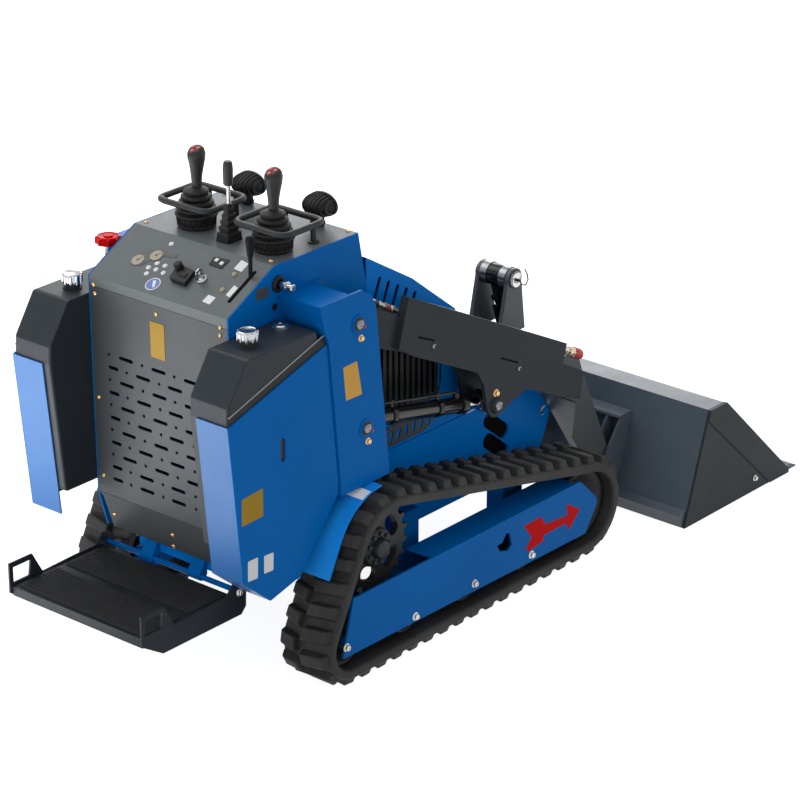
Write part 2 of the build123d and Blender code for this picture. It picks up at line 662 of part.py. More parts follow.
# Operator's platform: two side plates and a deck, hinged at its front
platform_side = [
    (-1155, 316), (-1155, 238), (-1085, 195), (-815, 195), (-798, 212), (-796, 262), (-812, 280),
    (-836, 288), (-861, 262), (-1045, 257), (-1078, 316),
]
ox, oz = PLATFORM_PIN
with BuildPart() as platform_deck:
    with BuildSketch(Plane.XZ.offset(PLATFORM_HALF - 6)):
        Polygon(*platform_side, align=None)
        Polygon((-1143, 303), (-1143, 262), (-1090, 262), (-1084, 303), align=None, mode=Mode.SUBTRACT)
        with Locations((ox, oz)):
            Circle(7 + RUN_GAP, mode=Mode.SUBTRACT)
    extrude(amount=6)
    with BuildSketch(Plane.XZ):
        Polygon((-1148, 230), (-1148, 255), (-842, 255), (-842, 205), (-848, 205), (-848, 249),
                (-1142, 249), (-1142, 230), align=None)
    extrude(amount=PLATFORM_HALF - 6)
    mirror(about=Plane.XZ)
platform_deck.part.label = "platform_deck"
export_step(platform_deck.part, "parts/platform_deck.step")

with BuildPart() as platform_mats:
    with BuildSketch(Plane.XY.offset(255)):
        with Locations((-1074, 0), (-916, 0)):
            Rectangle(130, 2 * (PLATFORM_HALF - MAT_MARGIN))
    extrude(amount=4)
platform_mats.part.label = "platform_mats"
export_step(platform_mats.part, "parts/platform_mats.step")

# Brackets and rod that carry the platform's hinge below the console
with BuildPart() as step_bracket:
    with BuildSketch(Plane.XZ.offset(60)):
        Polygon((-800.3, 380), (-806, 380), (-806, 300), (-829, 264), (-829, 252), (-820, 247),
                (-806, 250), (-800.3, 262), align=None)
    extrude(amount=40)
    with BuildSketch(Plane.XZ):
        with Locations((ox, oz)):
            Circle(7)
    extrude(amount=PLATFORM_HALF - 1)
    mirror(about=Plane.XZ)
step_bracket.part.label = "step_bracket"
export_step(step_bracket.part, "parts/step_bracket.step")

# Joysticks with their bellows
stick_feet = [(-598.0, 102.0), (-600.0, -150.0)]
BELLOWS_R = 54.0
BELLOWS_H = 92.0
GRIP_R = 18.0
STICK_H = 203.0
with BuildPart() as joysticks:
    for foot_x, foot_y in stick_feet:
        with BuildSketch(Plane.XY.offset(TOP_Z + SEAT_GAP)):
            with Locations((foot_x, foot_y)):
                Circle(BELLOWS_R)
        with BuildSketch(Plane.XY.offset(TOP_Z + BELLOWS_H)):
            with Locations((foot_x + 3, foot_y)):
                Circle(GRIP_R)
        loft()
        with BuildSketch(Plane.XY.offset(TOP_Z + BELLOWS_H)):
            with Locations((foot_x + 3, foot_y)):
                Circle(GRIP_R - 4)
        extrude(amount=56)
        with BuildSketch(Plane.XY.offset(TOP_Z + BELLOWS_H + 56)):
            with Locations((foot_x + 6, foot_y)):
                RectangleRounded(40, 34, 8)
        extrude(amount=STICK_H - BELLOWS_H - 56)
joysticks.part.label = "joysticks"
export_step(joysticks.part, "parts/joysticks.step")

# Guard loops of round bar around each joystick, on two posts each
GUARD_H = 55.0
GUARD_BAR = 16.0
guard_centres = [(foot_x + 23, foot_y + 2) for foot_x, foot_y in stick_feet]
guard_posts = [(cx + 72, cy + side * 45) for cx, cy in guard_centres for side in (-1, 1)]
with BuildPart() as control_guards:
    with BuildSketch(Plane.XY.offset(TOP_Z + GUARD_H)):
        with Locations(*guard_centres):
            RectangleRounded(160, 180, 34)
            RectangleRounded(160 - 2 * GUARD_BAR, 180 - 2 * GUARD_BAR, 34 - GUARD_BAR, mode=Mode.SUBTRACT)
    extrude(amount=GUARD_BAR)
    with BuildSketch(Plane.XY.offset(TOP_Z + SEAT_GAP)):
        with Locations(*guard_posts):
            Circle(7)
    extrude(amount=GUARD_H)
control_guards.part.label = "control_guards"
export_step(control_guards.part, "parts/control_guards.step")

# Levers: attachment lever in the middle, throttle upright in its slot on the slope
LEVER_FOOT = (-622.0, -28.0)
THROTTLE = (-727.5, -194.0)
THROTTLE_R = 5.0
throttle_z = SLOPE_Z + (TOP_Z - SLOPE_Z) * (THROTTLE[0] + THROTTLE_R + 845) / 162 + SEAT_GAP
with BuildPart() as control_levers:
    with BuildSketch(Plane.XY.offset(TOP_Z + SEAT_GAP)):
        with Locations(LEVER_FOOT):
            Rectangle(52, 40)
    with BuildSketch(Plane.XY.offset(TOP_Z + 90)):
        with Locations(LEVER_FOOT):
            Rectangle(20, 16)
    loft()
    with BuildSketch(Plane.XY.offset(TOP_Z + 90)):
        with Locations(LEVER_FOOT):
            Circle(6)
    extrude(amount=50)
    with BuildSketch(Plane.XY.offset(TOP_Z + 140)):
        with Locations(LEVER_FOOT):
            Circle(12)
    extrude(amount=59)
    with BuildSketch(Plane.XY.offset(throttle_z)):
        with Locations(THROTTLE):
            Circle(THROTTLE_R)
    extrude(amount=45)
    with BuildSketch(Plane.XY.offset(throttle_z + 45)):
        with Locations(THROTTLE):
            Circle(11)
    extrude(amount=54)
control_levers.part.label = "control_levers"
export_step(control_levers.part, "parts/control_levers.step")

# Work lamps at the top's front edge
LAMP_Y = 117.0
LAMP_Z = TOP_Z + 48.0
with BuildPart() as work_lamps:
    with BuildSketch(Plane.XY.offset(TOP_Z + SEAT_GAP)):
        with Locations((-405, LAMP_Y), (-405, -LAMP_Y)):
            Rectangle(18, 34)
    extrude(amount=22)
    with BuildSketch(Plane.YZ.offset(-440)):
        with Locations((LAMP_Y, LAMP_Z), (-LAMP_Y, LAMP_Z)):
            RectangleRounded(92, 62, 28)
    extrude(amount=60)
work_lamps.part.label = "work_lamps"
export_step(work_lamps.part, "parts/work_lamps.step")
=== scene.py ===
from math import acos, atan2, cos, hypot, pi, radians, sin, tan

import bmesh
import bpy
from mathutils import Matrix, Vector


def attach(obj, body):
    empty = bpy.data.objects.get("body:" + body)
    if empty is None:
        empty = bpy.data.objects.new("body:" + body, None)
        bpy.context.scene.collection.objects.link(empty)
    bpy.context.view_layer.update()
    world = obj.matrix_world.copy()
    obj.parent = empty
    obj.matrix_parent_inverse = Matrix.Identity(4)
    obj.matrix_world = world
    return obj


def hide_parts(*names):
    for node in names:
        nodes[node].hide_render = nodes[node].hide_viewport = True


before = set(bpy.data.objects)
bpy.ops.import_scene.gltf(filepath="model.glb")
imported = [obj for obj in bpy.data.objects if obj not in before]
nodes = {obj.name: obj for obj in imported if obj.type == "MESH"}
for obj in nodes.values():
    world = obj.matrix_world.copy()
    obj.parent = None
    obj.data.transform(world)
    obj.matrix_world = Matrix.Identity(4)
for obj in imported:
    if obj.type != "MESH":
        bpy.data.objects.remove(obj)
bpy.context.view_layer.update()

# Studio: the camera stands where the photograph was taken from, behind the machine on its
# right. The floor and the surroundings look white, and soft lamps hang above and behind.
scene = bpy.context.scene
scene.view_settings.view_transform = "Standard"
lens = bpy.data.cameras.new("photo_camera")
lens.lens = 149.84
lens.sensor_width = 36
lens.clip_start = 0.1
lens.clip_end = 100
camera = bpy.data.objects.new("photo_camera", lens)
camera.location = (-6.056, -5.179, 3.813)
heading, dip = radians(40.345), radians(22.988)
looking = Vector((cos(dip) * cos(heading), cos(dip) * sin(heading), -sin(dip)))
camera.rotation_euler = looking.to_track_quat("-Z", "Y").to_euler()
scene.collection.objects.link(camera)
scene.camera = camera


def hang_lamp(name, at, aim, size, watts):
    """A soft rectangular lamp that the camera doesn't see."""
    lamp = bpy.data.lights.new(name, "AREA")
    lamp.shape = "RECTANGLE"
    lamp.size, lamp.size_y = size
    lamp.energy = watts
    made = bpy.data.objects.new(name, lamp)
    made.location = at
    made.rotation_euler = (Vector(aim) - Vector(at)).to_track_quat("-Z", "Y").to_euler()
    made.visible_camera = False
    scene.collection.objects.link(made)


hang_lamp("overhead_softbox", (-0.5, 1.8, 3.6), (-0.5, 0, 0.8), (2.4, 2.4), 45)
hang_lamp("front_softbox", (3.9, 3.3, 2.7), (0.2, 0, 0.5), (3.0, 2.0), 90)
hang_lamp("rear_softbox", (-3.3, -1.5, 0.7), (-0.7, -0.1, 0.4), (1.5, 1.0), 14)
hang_lamp("rear_floor_panel", (-2.3, 1.1, 0.03), (-2.3, 1.1, 1), (1.9, 1.9), 75)


def white_where_seen(tree):
    """1 where the camera sees a surface straight, mirrored or through glass, else 0."""
    ray = tree.nodes.new("ShaderNodeLightPath")
    seen = ray.outputs["Is Camera Ray"]
    for kind in ("Is Glossy Ray", "Is Transmission Ray"):
        either = tree.nodes.new("ShaderNodeMath")
        either.operation = "MAXIMUM"
        tree.links.new(seen, either.inputs[0])
        tree.links.new(ray.outputs[kind], either.inputs[1])
        seen = either.outputs[0]
    return seen


def mix_to(tree, unseen, seen, out_kind):
    """Joins the surface that only lights the scene and the one that is looked at."""
    pick = tree.nodes.new("ShaderNodeMixShader")
    out = tree.nodes.new(out_kind)
    tree.links.new(white_where_seen(tree), pick.inputs["Fac"])
    tree.links.new(unseen.outputs[0], pick.inputs[1])
    tree.links.new(seen.outputs[0], pick.inputs[2])
    tree.links.new(pick.outputs[0], out.inputs["Surface"])


world = bpy.data.worlds.new("studio")
scene.world = world
world.use_nodes = True
sky = world.node_tree
sky.nodes.clear()
plain = sky.nodes.new("ShaderNodeBackground")
plain.inputs["Color"].default_value = (0.70, 0.72, 0.75, 1)
white = sky.nodes.new("ShaderNodeBackground")
white.inputs["Color"].default_value = (1, 1, 1, 1)
mix_to(sky, plain, white, "ShaderNodeOutputWorld")

floor_mesh = bpy.data.meshes.new("floor")
floor_mesh.from_pydata([(-30, -30, 0), (30, -30, 0), (30, 30, 0), (-30, 30, 0)], [], [(0, 1, 2, 3)])
floor = bpy.data.objects.new("floor", floor_mesh)
floor.location.z = -0.0005
scene.collection.objects.link(floor)
floor_paint = bpy.data.materials.new("studio_floor")
floor_paint.use_nodes = True
ground = floor_paint.node_tree
ground.nodes.clear()
matt = ground.nodes.new("ShaderNodeBsdfDiffuse")
matt.inputs["Color"].default_value = (0.50, 0.50, 0.50, 1)
glow = ground.nodes.new("ShaderNodeEmission")
glow.inputs["Strength"].default_value = 0.90
both = ground.nodes.new("ShaderNodeAddShader")
ground.links.new(matt.outputs[0], both.inputs[0])
ground.links.new(glow.outputs[0], both.inputs[1])
mix_to(ground, matt, both, "ShaderNodeOutputMaterial")
floor_mesh.materials.append(floor_paint)

# Chassis: two side plates, the motor wells and the belly, welded from steel sheet and
# sprayed with glossy blue paint. The engine is one dark cast block on the belly.


def finish_of(name, colour, rough, cloud, metal=0.0, coat=0.0, spec=0.5, grain=90.0,
              dents=0.05, dust=None, sheen=(1, 1, 1)):
    """A sprayed, moulded or plated finish: clouded colour, uneven gloss and a fine skin."""
    mat = bpy.data.materials.new(name)
    mat.use_nodes = True
    tree = mat.node_tree
    skin = tree.nodes["Principled BSDF"]
    place = tree.nodes.new("ShaderNodeTexCoord")

    def fill(made, **sockets):
        for socket, value in sockets.items():
            made.inputs[socket.replace("_", " ")].default_value = value

    def noise(scale, detail):
        made = tree.nodes.new("ShaderNodeTexNoise")
        fill(made, Scale=scale, Detail=detail)
        tree.links.new(place.outputs["Object"], made.inputs["Vector"])
        return made.outputs["Fac"]

    def spread(value, least, most, start=0.0, end=1.0):
        made = tree.nodes.new("ShaderNodeMapRange")
        fill(made, From_Min=start, From_Max=end, To_Min=least, To_Max=most)
        tree.links.new(value, made.inputs["Value"])
        return made.outputs["Result"]

    fill(skin, Metallic=metal, Coat_Weight=coat, Coat_Roughness=0.12, Specular_IOR_Level=spec,
         Specular_Tint=(*sheen, 1))
    ramp = tree.nodes.new("ShaderNodeValToRGB")
    low, high = ramp.color_ramp.elements
    low.position, high.position = 0.30, 0.70
    low.color = (*[c * (1 - cloud) for c in colour], 1)
    high.color = (*[min(1.0, c * (1 + cloud)) for c in colour], 1)
    tree.links.new(noise(4.0, 3.0), ramp.inputs["Fac"])
    speck = tree.nodes.new("ShaderNodeMix")
    speck.data_type = "RGBA"
    speck.blend_type = "MULTIPLY"
    speck.inputs["Factor"].default_value = 1.0
    tree.links.new(ramp.outputs["Color"], speck.inputs["A"])
    tree.links.new(spread(noise(grain, 4.0), 1 - cloud * 0.8, 1 + cloud * 0.8), speck.inputs["B"])
    colour_out = speck.outputs["Result"]
    if dust:
        lie = tree.nodes.new("ShaderNodeMix")
        lie.data_type = "RGBA"
        tree.links.new(spread(noise(11.0, 6.0), 0.0, dust, 0.45, 0.75), lie.inputs["Factor"])
        tree.links.new(colour_out, lie.inputs["A"])
        lie.inputs["B"].default_value = (0.30, 0.29, 0.27, 1)
        colour_out = lie.outputs["Result"]
    tree.links.new(colour_out, skin.inputs["Base Color"])
    tree.links.new(spread(noise(17.0, 5.0), rough * 0.82, min(1.0, rough * 1.18)), skin.inputs["Roughness"])
    ripple = tree.nodes.new("ShaderNodeBump")
    fill(ripple, Strength=dents, Distance=0.001)
    tree.links.new(noise(grain * 4, 2.0), ripple.inputs["Height"])
    tree.links.new(ripple.outputs["Normal"], skin.inputs["Normal"])
    return mat


def dress(name, mat, edge):
    """Gives a CAD piece its finish, and the small rounding that its cut edges have."""
    piece = nodes[name]
    piece.data.materials.clear()
    piece.data.materials.append(mat)
    weld = piece.modifiers.new("weld", "WELD")
    weld.merge_threshold = 0.00002
    if edge:
        round_off = piece.modifiers.new("edges", "BEVEL")
        round_off.width = edge / 1000
        round_off.segments = 2
        round_off.limit_method = "ANGLE"
        round_off.angle_limit = radians(30)
        round_off.harden_normals = True


BLUE_SHEEN = (0.0, 0.35, 1.0)
blue_paint = finish_of("blue_paint", (0.0, 0.122, 0.415), 0.34, cloud=0.04, spec=0.08, sheen=BLUE_SHEEN)
# A lighter copy of the blue paint: painted light that brightens the chassis sides and the hood sides, which
# stand in shade.
shade_lightened_blue = finish_of("blue_paint_lightened_for_shade", (0.0, 0.185, 0.62), 0.34, cloud=0.04, spec=0.08, sheen=BLUE_SHEEN)
cast_black = finish_of("cast_black", (0.03, 0.032, 0.035), 0.55, cloud=0.25, dents=0.3, spec=0.2)
dress("chassis_frame", shade_lightened_blue, 1.5)
dress("engine_block", cast_black, 8)

# Track frames: a folded outer plate over a low beam, bolted to the chassis and painted
# like it. Four zinc bolts hold the plate, and a red arrow sticker shows the way forward.


def ring(x, z, radius, steps):
    """The points of a round hole or disc."""
    return [(x + radius * cos(2 * pi * k / steps), z + radius * sin(2 * pi * k / steps))
            for k in range(steps)]


def slot(x, z, long, wide, lean=0.0, steps=8):
    """The points of a slot with round ends, long from end to end, leaning in degrees."""
    half, r, a = (long - wide) / 2, wide / 2, radians(lean)
    points = []
    for side in (1, -1):
        for k in range(steps + 1):
            b = -pi / 2 + pi * k / steps
            u, v = side * (half + r * cos(b)), side * r * sin(b)
            points.append((x + u * cos(a) - v * sin(a), z + u * sin(a) + v * cos(a)))
    return points


def round_corners(points, radius, steps=5):
    """A loop of points with each corner rounded off."""
    made = []
    for k, here in enumerate(points):
        corner = Vector(here)
        to_a = Vector(points[k - 1]) - corner
        to_b = Vector(points[(k + 1) % len(points)]) - corner
        reach = radius / tan(max(0.1, to_a.angle(to_b)) / 2)
        reach = min(reach, to_a.length * 0.48, to_b.length * 0.48)
        start = corner + to_a.normalized() * reach
        end = corner + to_b.normalized() * reach
        for n in range(steps + 1):
            t = n / steps
            made.append(tuple(start * (1 - t) ** 2 + corner * 2 * t * (1 - t) + end * t ** 2))
    return made


def take(shape, drawn, place, skin):
    """Adds a drawn curve, as the solid it stands for, to a piece that is being made."""
    holder = bpy.data.objects.new("drawn", drawn)
    solid = bpy.data.meshes.new_from_object(holder)
    solid.transform(place)
    before = len(shape.faces)
    shape.from_mesh(solid)
    shape.faces.ensure_lookup_table()
    for face in shape.faces[before:]:
        face.material_index = skin
    bpy.data.objects.remove(holder)
    bpy.data.curves.remove(drawn)
    bpy.data.meshes.remove(solid)


def cut(shape, loops, thick, at, across=(1, 0, 0), up=(0, 0, 1), soft=0.6, skin=0):
    """A plate cut from sheet: an outline and its holes, with softened rims. It lies on the
    plane of `across` and `up` through `at`, and its thickness goes out from there."""
    drawn = bpy.data.curves.new("plate", "CURVE")
    drawn.dimensions = "2D"
    drawn.fill_mode = "BOTH"
    soft = min(soft, thick * 0.45)
    drawn.extrude = thick / 2 - soft
    drawn.bevel_depth = soft
    drawn.bevel_resolution = 1
    drawn.offset = -soft
    for number, loop in enumerate(loops):
        turn_way = sum(a[0] * b[1] - b[0] * a[1] for a, b in zip(loop, loop[1:] + loop[:1]))
        if (turn_way > 0) != (number == 0):
            loop = loop[::-1]
        line = drawn.splines.new("POLY")
        line.points.add(len(loop) - 1)
        for point, (a, b) in zip(line.points, loop):
            point.co = (a, b, 0, 1)
        line.use_cyclic_u = True
    u, v = Vector(across).normalized(), Vector(up).normalized()
    n = u.cross(v)
    corner = Vector(at) + n * thick / 2
    place = Matrix.Translation(corner) @ Matrix((u, v, n)).transposed().to_4x4()
    take(shape, drawn, place, skin)


def side_plate(shape, loops, side, near, thick, soft, skin=0):
    """A plate that stands along the machine on one side, its inner face at `near`."""
    start = -near if side < 0 else near + thick
    cut(shape, loops, thick, (0, start, 0), soft=soft, skin=skin)


def sticker(shape, corners, face, skin=0):
    """A sticker with round corners on the right side, on the face this far out."""
    cut(shape, [round_corners(corners, 3, 2)], 0.5, (0, -face, 0), soft=0.1, skin=skin)


def turn(shape, profile, at, axis=(0, 0, 1), steps=32, skin=0):
    """A turned solid: (radius, height) pairs spun about an axis through `at`."""
    spin = Vector(axis).to_track_quat("Z", "Y").to_matrix()
    rings = []
    for r, h in profile:
        count = steps if r else 1
        spots = [(r * cos(2 * pi * k / steps), r * sin(2 * pi * k / steps), h) for k in range(count)]
        rings.append([shape.verts.new(Vector(at) + spin @ Vector(spot)) for spot in spots])
    for low, high in zip(rings, rings[1:]):
        for k in range(steps):
            n = (k + 1) % steps
            corners = (low[k % len(low)], low[n % len(low)], high[n % len(high)], high[k % len(high)])
            shape.faces.new(list(dict.fromkeys(corners))).material_index = skin


def put(name, shape, body, skins, stands_for=(), sharp=35):
    """Closes a piece made in millimetres, gives it its finishes and hangs it on its body."""
    bmesh.ops.remove_doubles(shape, verts=shape.verts, dist=0.002)
    bmesh.ops.recalc_face_normals(shape, faces=shape.faces)
    bmesh.ops.scale(shape, vec=(0.001, 0.001, 0.001), verts=shape.verts)
    mesh = bpy.data.meshes.new(name)
    shape.to_mesh(mesh)
    shape.free()
    for mat in skins:
        mesh.materials.append(mat)
    mesh.shade_smooth()
    mesh.set_sharp_from_angle(angle=radians(sharp))
    piece = bpy.data.objects.new(name, mesh)
    scene.collection.objects.link(piece)
    piece.modifiers.new("shading", "WEIGHTED_NORMAL").keep_sharp = True
    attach(piece, body)
    if stands_for:
        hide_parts(*stands_for)
    return piece


def stub(shape, radius, low, high, at, axis=(0, 0, 1), steps=32, skin=0):
    """A short round bar between two heights on its axis."""
    turn(shape, [(0, low), (radius, low), (radius, high), (0, high)], at, axis, steps, skin)


def bolt(shape, at, axis, size, skin=0, washer=True):
    """A flange bolt seen from outside: washer, six-sided head and a small dimple."""
    out = Vector(axis).normalized()
    if washer:
        turn(shape, [(0, 0), (size * 0.98, 0), (size, 0.6), (size * 0.9, 1.6), (0, 1.6)],
             at, axis, 24, skin)
    turn(shape, [(0, 0), (size * 0.72, 0), (size * 0.72, size * 0.55), (size * 0.6, size * 0.68),
                 (size * 0.3, size * 0.68), (size * 0.26, size * 0.56), (0, size * 0.56)],
         Vector(at) + out * 1.2, axis, 6, skin)


def dome_screw(shape, at, axis, size, skin=0):
    """A round-headed screw with a socket in its top."""
    turn(shape, [(0, 0), (size, 0), (size * 0.97, size * 0.25), (size * 0.78, size * 0.5),
                 (size * 0.45, size * 0.62), (size * 0.4, size * 0.3), (0, size * 0.3)], at, axis, 18, skin)


zinc = finish_of("zinc_plate", (0.62, 0.60, 0.56), 0.26, cloud=0.15, metal=1.0, dents=0.1)
chrome = finish_of("chrome", (0.48, 0.49, 0.50), 0.16, cloud=0.10, metal=1.0)
brass = finish_of("yellow_zinc", (0.72, 0.50, 0.24), 0.30, cloud=0.15, metal=1.0, dents=0.1)
arrow_red = finish_of("red_sticker", (0.56, 0.004, 0.005), 0.38, cloud=0.06, spec=0.06,
                      sheen=(1.0, 0.1, 0.1))
dress("track_frames", blue_paint, 1.5)
SIDES = ((-1, "right"), (1, "left"))
GUARD_FACE = 425.0
guard_bolts = [(-659, 111), (-400, 96), (-168, 100), (64, 96)]
arrow = [(30, 189), (101, 190), (122, 162), (215, 155), (206, 190), (267, 154), (221, 110),
         (208, 134), (115, 133), (111, 118), (49, 109), (40, 123), (64, 146), (35, 182)]
for side, hand in SIDES:
    shape = bmesh.new()
    for x, z in guard_bolts:
        bolt(shape, (x, side * GUARD_FACE, z), (0, side, 0), 11)
    put("guard_bolts_" + hand, shape, "machine", [zinc])
    shape = bmesh.new()
    side_plate(shape, [round_corners(arrow, 3, 2)], side, GUARD_FACE, 0.5, 0.1)
    put("arrow_sticker_" + hand, shape, "machine", [arrow_red])

# Undercarriage wheels: cast idlers and rollers with two rims each, and on every drive motor
# a toothed ring bolted to its hub, with five openings. The motor covers are rolled sheet.


def rim_wheel(shape, x, z, r, side):
    """A cast wheel with a hub, a dished web and two treads."""
    inner_face, tread = 305.0, 90.0
    half = [(0, 0), (r * 0.26, 0), (r * 0.32, 6), (r * 0.34, 22), (r * 0.55, 28), (r * 0.76, 12),
            (r * 0.84, 3), (r - 4, 0), (r, 4), (r, 36), (r - 7, 41)]
    profile = half + [(q, tread - h) for q, h in half[::-1]]
    turn(shape, profile, (x, side * inner_face, z), (0, side, 0), 48)


wheel_black = finish_of("wheel_black", (0.020, 0.021, 0.022), 0.48, cloud=0.25, dents=0.25, spec=0.25)
motor_grey = finish_of("motor_grey", (0.04, 0.042, 0.046), 0.42, cloud=0.2, dents=0.2, spec=0.25)
# The motor covers get a much paler, glossier blue than the rest of the paint: painted light and a painted
# sheen on the fenders.
dress("motor_covers", finish_of("pale_fender_painted_light", (0.010, 0.27, 0.82), 0.34, cloud=0.04, spec=0.35,
                                sheen=(0.3, 0.6, 1.0)), 1)
dress("drive_motors", motor_grey, 2)
SPROCKET = (-477.0, 296.0)
TEETH, OPENINGS, HUB_BOLTS = 21, 5, 9


def round_sprocket(r, a):
    """The (x, z) place at a radius and angle round the sprocket's middle."""
    return SPROCKET[0] + r * cos(a), SPROCKET[1] + r * sin(a)


tooth_tops = []
for tooth in range(TEETH):
    for share, r in ((0.0, 107), (0.22, 108), (0.36, 121), (0.62, 121), (0.76, 108)):
        tooth_tops.append(round_sprocket(r, 2 * pi * (tooth + share) / TEETH))
openings = []
for number in range(OPENINGS):
    lean = 32 + 360 / OPENINGS * number
    openings.append(slot(*round_sprocket(70, radians(lean)), 62, 36, lean + 90))
for side, hand in SIDES:
    shape = bmesh.new()
    side_plate(shape, [tooth_tops] + openings, side, 342, 20, 2)
    put("sprocket_ring_" + hand, shape, "machine", [wheel_black], ["drive_sprockets"])
    shape = bmesh.new()
    turn(shape, [(0, 0), (52, 0), (52, 12), (50, 13), (50, 38), (46, 42), (28, 42), (26, 52), (22, 58),
                 (12, 60), (0, 60)], (SPROCKET[0], side * 330, SPROCKET[1]), (0, side, 0), 48, 0)
    for number in range(HUB_BOLTS):
        x, z = round_sprocket(37, 2 * pi * number / HUB_BOLTS)
        bolt(shape, (x, side * 372, z), (0, side, 0), 8, 1, washer=False)
    put("sprocket_hub_" + hand, shape, "machine", [wheel_black, motor_grey], ["drive_sprockets"])
    shape = bmesh.new()
    rim_wheel(shape, 305, 143, 98.7, side)
    put("front_idler_" + hand, shape, "machine", [wheel_black], ["front_idlers"])
    shape = bmesh.new()
    rim_wheel(shape, -635, 110, 65.7, side)
    put("rear_idler_" + hand, shape, "machine", [wheel_black], ["rear_idlers"])
    shape = bmesh.new()
    for x in (-405, -173, 58):
        rim_wheel(shape, x, 101, 56.7, side)
    put("bottom_rollers_" + hand, shape, "machine", [wheel_black], ["track_rollers"])

# Rubber tracks: one endless belt on each side, moulded with two staggered rows of lugs.
# The belt runs round the sprocket and both idlers, and its edges are rounded.
BELT_IN, BELT_OUT, BELT_THICK = 275.0, 433.0, 24.0
LUG_HIGH, LUGS = 20.0, 45
round_wheels = [(-635.0, 110.0, 90.0), (305.0, 143.0, 123.0), (-477.0, 296.0, 147.0)]
leaving = []
for number, (x1, z1, r1) in enumerate(round_wheels):
    x2, z2, r2 = round_wheels[(number + 1) % 3]
    leaving.append(atan2(z2 - z1, x2 - x1) - acos((r1 - r2) / hypot(x2 - x1, z2 - z1)))
runs = []
for number, (x1, z1, r1) in enumerate(round_wheels):
    start, end = leaving[number - 1], leaving[number]
    while end < start:
        end += 2 * pi
    runs.append(("arc", x1, z1, r1, start, end, r1 * (end - start)))
    x2, z2, r2 = round_wheels[(number + 1) % 3]
    a = (x1 + r1 * cos(end), z1 + r1 * sin(end))
    b = (x2 + r2 * cos(end), z2 + r2 * sin(end))
    runs.append(("straight", *a, *b, end, hypot(b[0] - a[0], b[1] - a[1])))
belt_long = sum(run[-1] for run in runs)


def on_belt(along, out):
    """The (x, z) place at a distance along the belt, this far out from its outer skin."""
    along %= belt_long
    for run in runs:
        if along <= run[-1]:
            break
        along -= run[-1]
    if run[0] == "arc":
        _, x, z, r, start, end, _ = run
        a = start + along / r
        return x + (r + out) * cos(a), z + (r + out) * sin(a)
    _, x1, z1, x2, z2, a, total = run
    t = along / total
    return x1 + (x2 - x1) * t + out * cos(a), z1 + (z2 - z1) * t + out * sin(a)


rubber = finish_of("track_rubber", (0.028, 0.028, 0.028), 0.58, cloud=0.25, grain=160, dents=0.5,
                   spec=0.2, dust=0.05)
belt_section = [(BELT_IN, -5), (BELT_IN + 4, 0), (BELT_OUT - 4, 0), (BELT_OUT, -5), (BELT_OUT, -19),
                (BELT_OUT - 4, -BELT_THICK), (BELT_OUT - 34, -BELT_THICK), (BELT_OUT - 38, -21),
                (BELT_IN + 30, -21), (BELT_IN + 26, -BELT_THICK), (BELT_IN + 4, -BELT_THICK), (BELT_IN, -19)]
BELT_STEPS = LUGS * 8
for side, hand in SIDES:
    shape = bmesh.new()
    hoops = []
    for step in range(BELT_STEPS):
        hoop = []
        for y, out in belt_section:
            x, z = on_belt(belt_long * step / BELT_STEPS, out)
            hoop.append(shape.verts.new((x, side * y, z)))
        hoops.append(hoop)
    for step, hoop in enumerate(hoops):
        after = hoops[(step + 1) % BELT_STEPS]
        for k in range(len(hoop)):
            n = (k + 1) % len(hoop)
            shape.faces.new((hoop[k], hoop[n], after[n], after[k]))
    pitch = belt_long / LUGS
    for row, (y_mid, y_edge) in enumerate(((340.0, BELT_OUT - 7), (329.0, BELT_IN + 1))):
        outward = 1 if y_edge > y_mid else -1
        for lug in range(LUGS):
            middle = pitch * (lug + 0.5 * row)
            rows = []
            for y, lean, out, half in (
                (y_mid, 6, -2, 21), (y_edge, -5, -2, 19), (y_edge - 6 * outward, -4, LUG_HIGH - 3, 14),
                (y_edge - 11 * outward, -4, LUG_HIGH, 13), (y_mid + 3 * outward, 5, LUG_HIGH, 14),
            ):
                low_x, low_z = on_belt(middle + lean - half, out)
                high_x, high_z = on_belt(middle + lean + half, out)
                rows.append((shape.verts.new((low_x, side * y, low_z)),
                             shape.verts.new((high_x, side * y, high_z))))
            for k in range(5):
                a, b = rows[k], rows[(k + 1) % 5]
                shape.faces.new((a[0], b[0], b[1], a[1]))
            shape.faces.new([pair[0] for pair in rows])
            shape.faces.new([pair[1] for pair in rows][::-1])
    track = put("track_belt_" + hand, shape, "machine", [rubber], ["track_" + hand])
    moulded = track.modifiers.new("moulded_edges", "BEVEL")
    moulded.width = 0.0025
    moulded.segments = 1
    moulded.angle_limit = radians(40)

# Console: two painted side sheets, a front sheet, and between them a grey powder-coated rear
# panel, punched with rows of slots and holes to let the heat out and held by plated screws.
panel_grey = finish_of("panel_grey", (0.052, 0.059, 0.063), 0.40, cloud=0.05, spec=0.15)
dress("console_sides", blue_paint, 1.0)
dress("console_front", blue_paint, 0.8)
PANEL_HALF, PANEL_FOOT, PANEL_TOP = 225.7, 401.0, 945.0
SLOT_LONG, SLOT_WIDE, DOT_R = 47.0, 9.0, 4.3
vents = []
for row in range(11):
    height = 778 - 33 * row - PANEL_FOOT
    if row % 2 == 0 and row < 10:
        dots, slots, short = (170, 59, -48, -158), (113, 4, -103), ()
    else:
        dots, slots, short = (112, 3, -106), (57, -49), (157, -150)
    vents += [ring(-y, height, DOT_R, 12) for y in dots]
    vents += [slot(-y, height, SLOT_LONG, SLOT_WIDE, 0, 5) for y in slots]
    vents += [slot(-y, height, 34, SLOT_WIDE, 0, 5) for y in short]
sheet = [(-PANEL_HALF, 0), (PANEL_HALF, 0), (PANEL_HALF, PANEL_TOP - PANEL_FOOT),
         (-PANEL_HALF, PANEL_TOP - PANEL_FOOT)]
shape = bmesh.new()
rise = Vector((-4.5, 0, PANEL_TOP - PANEL_FOOT))
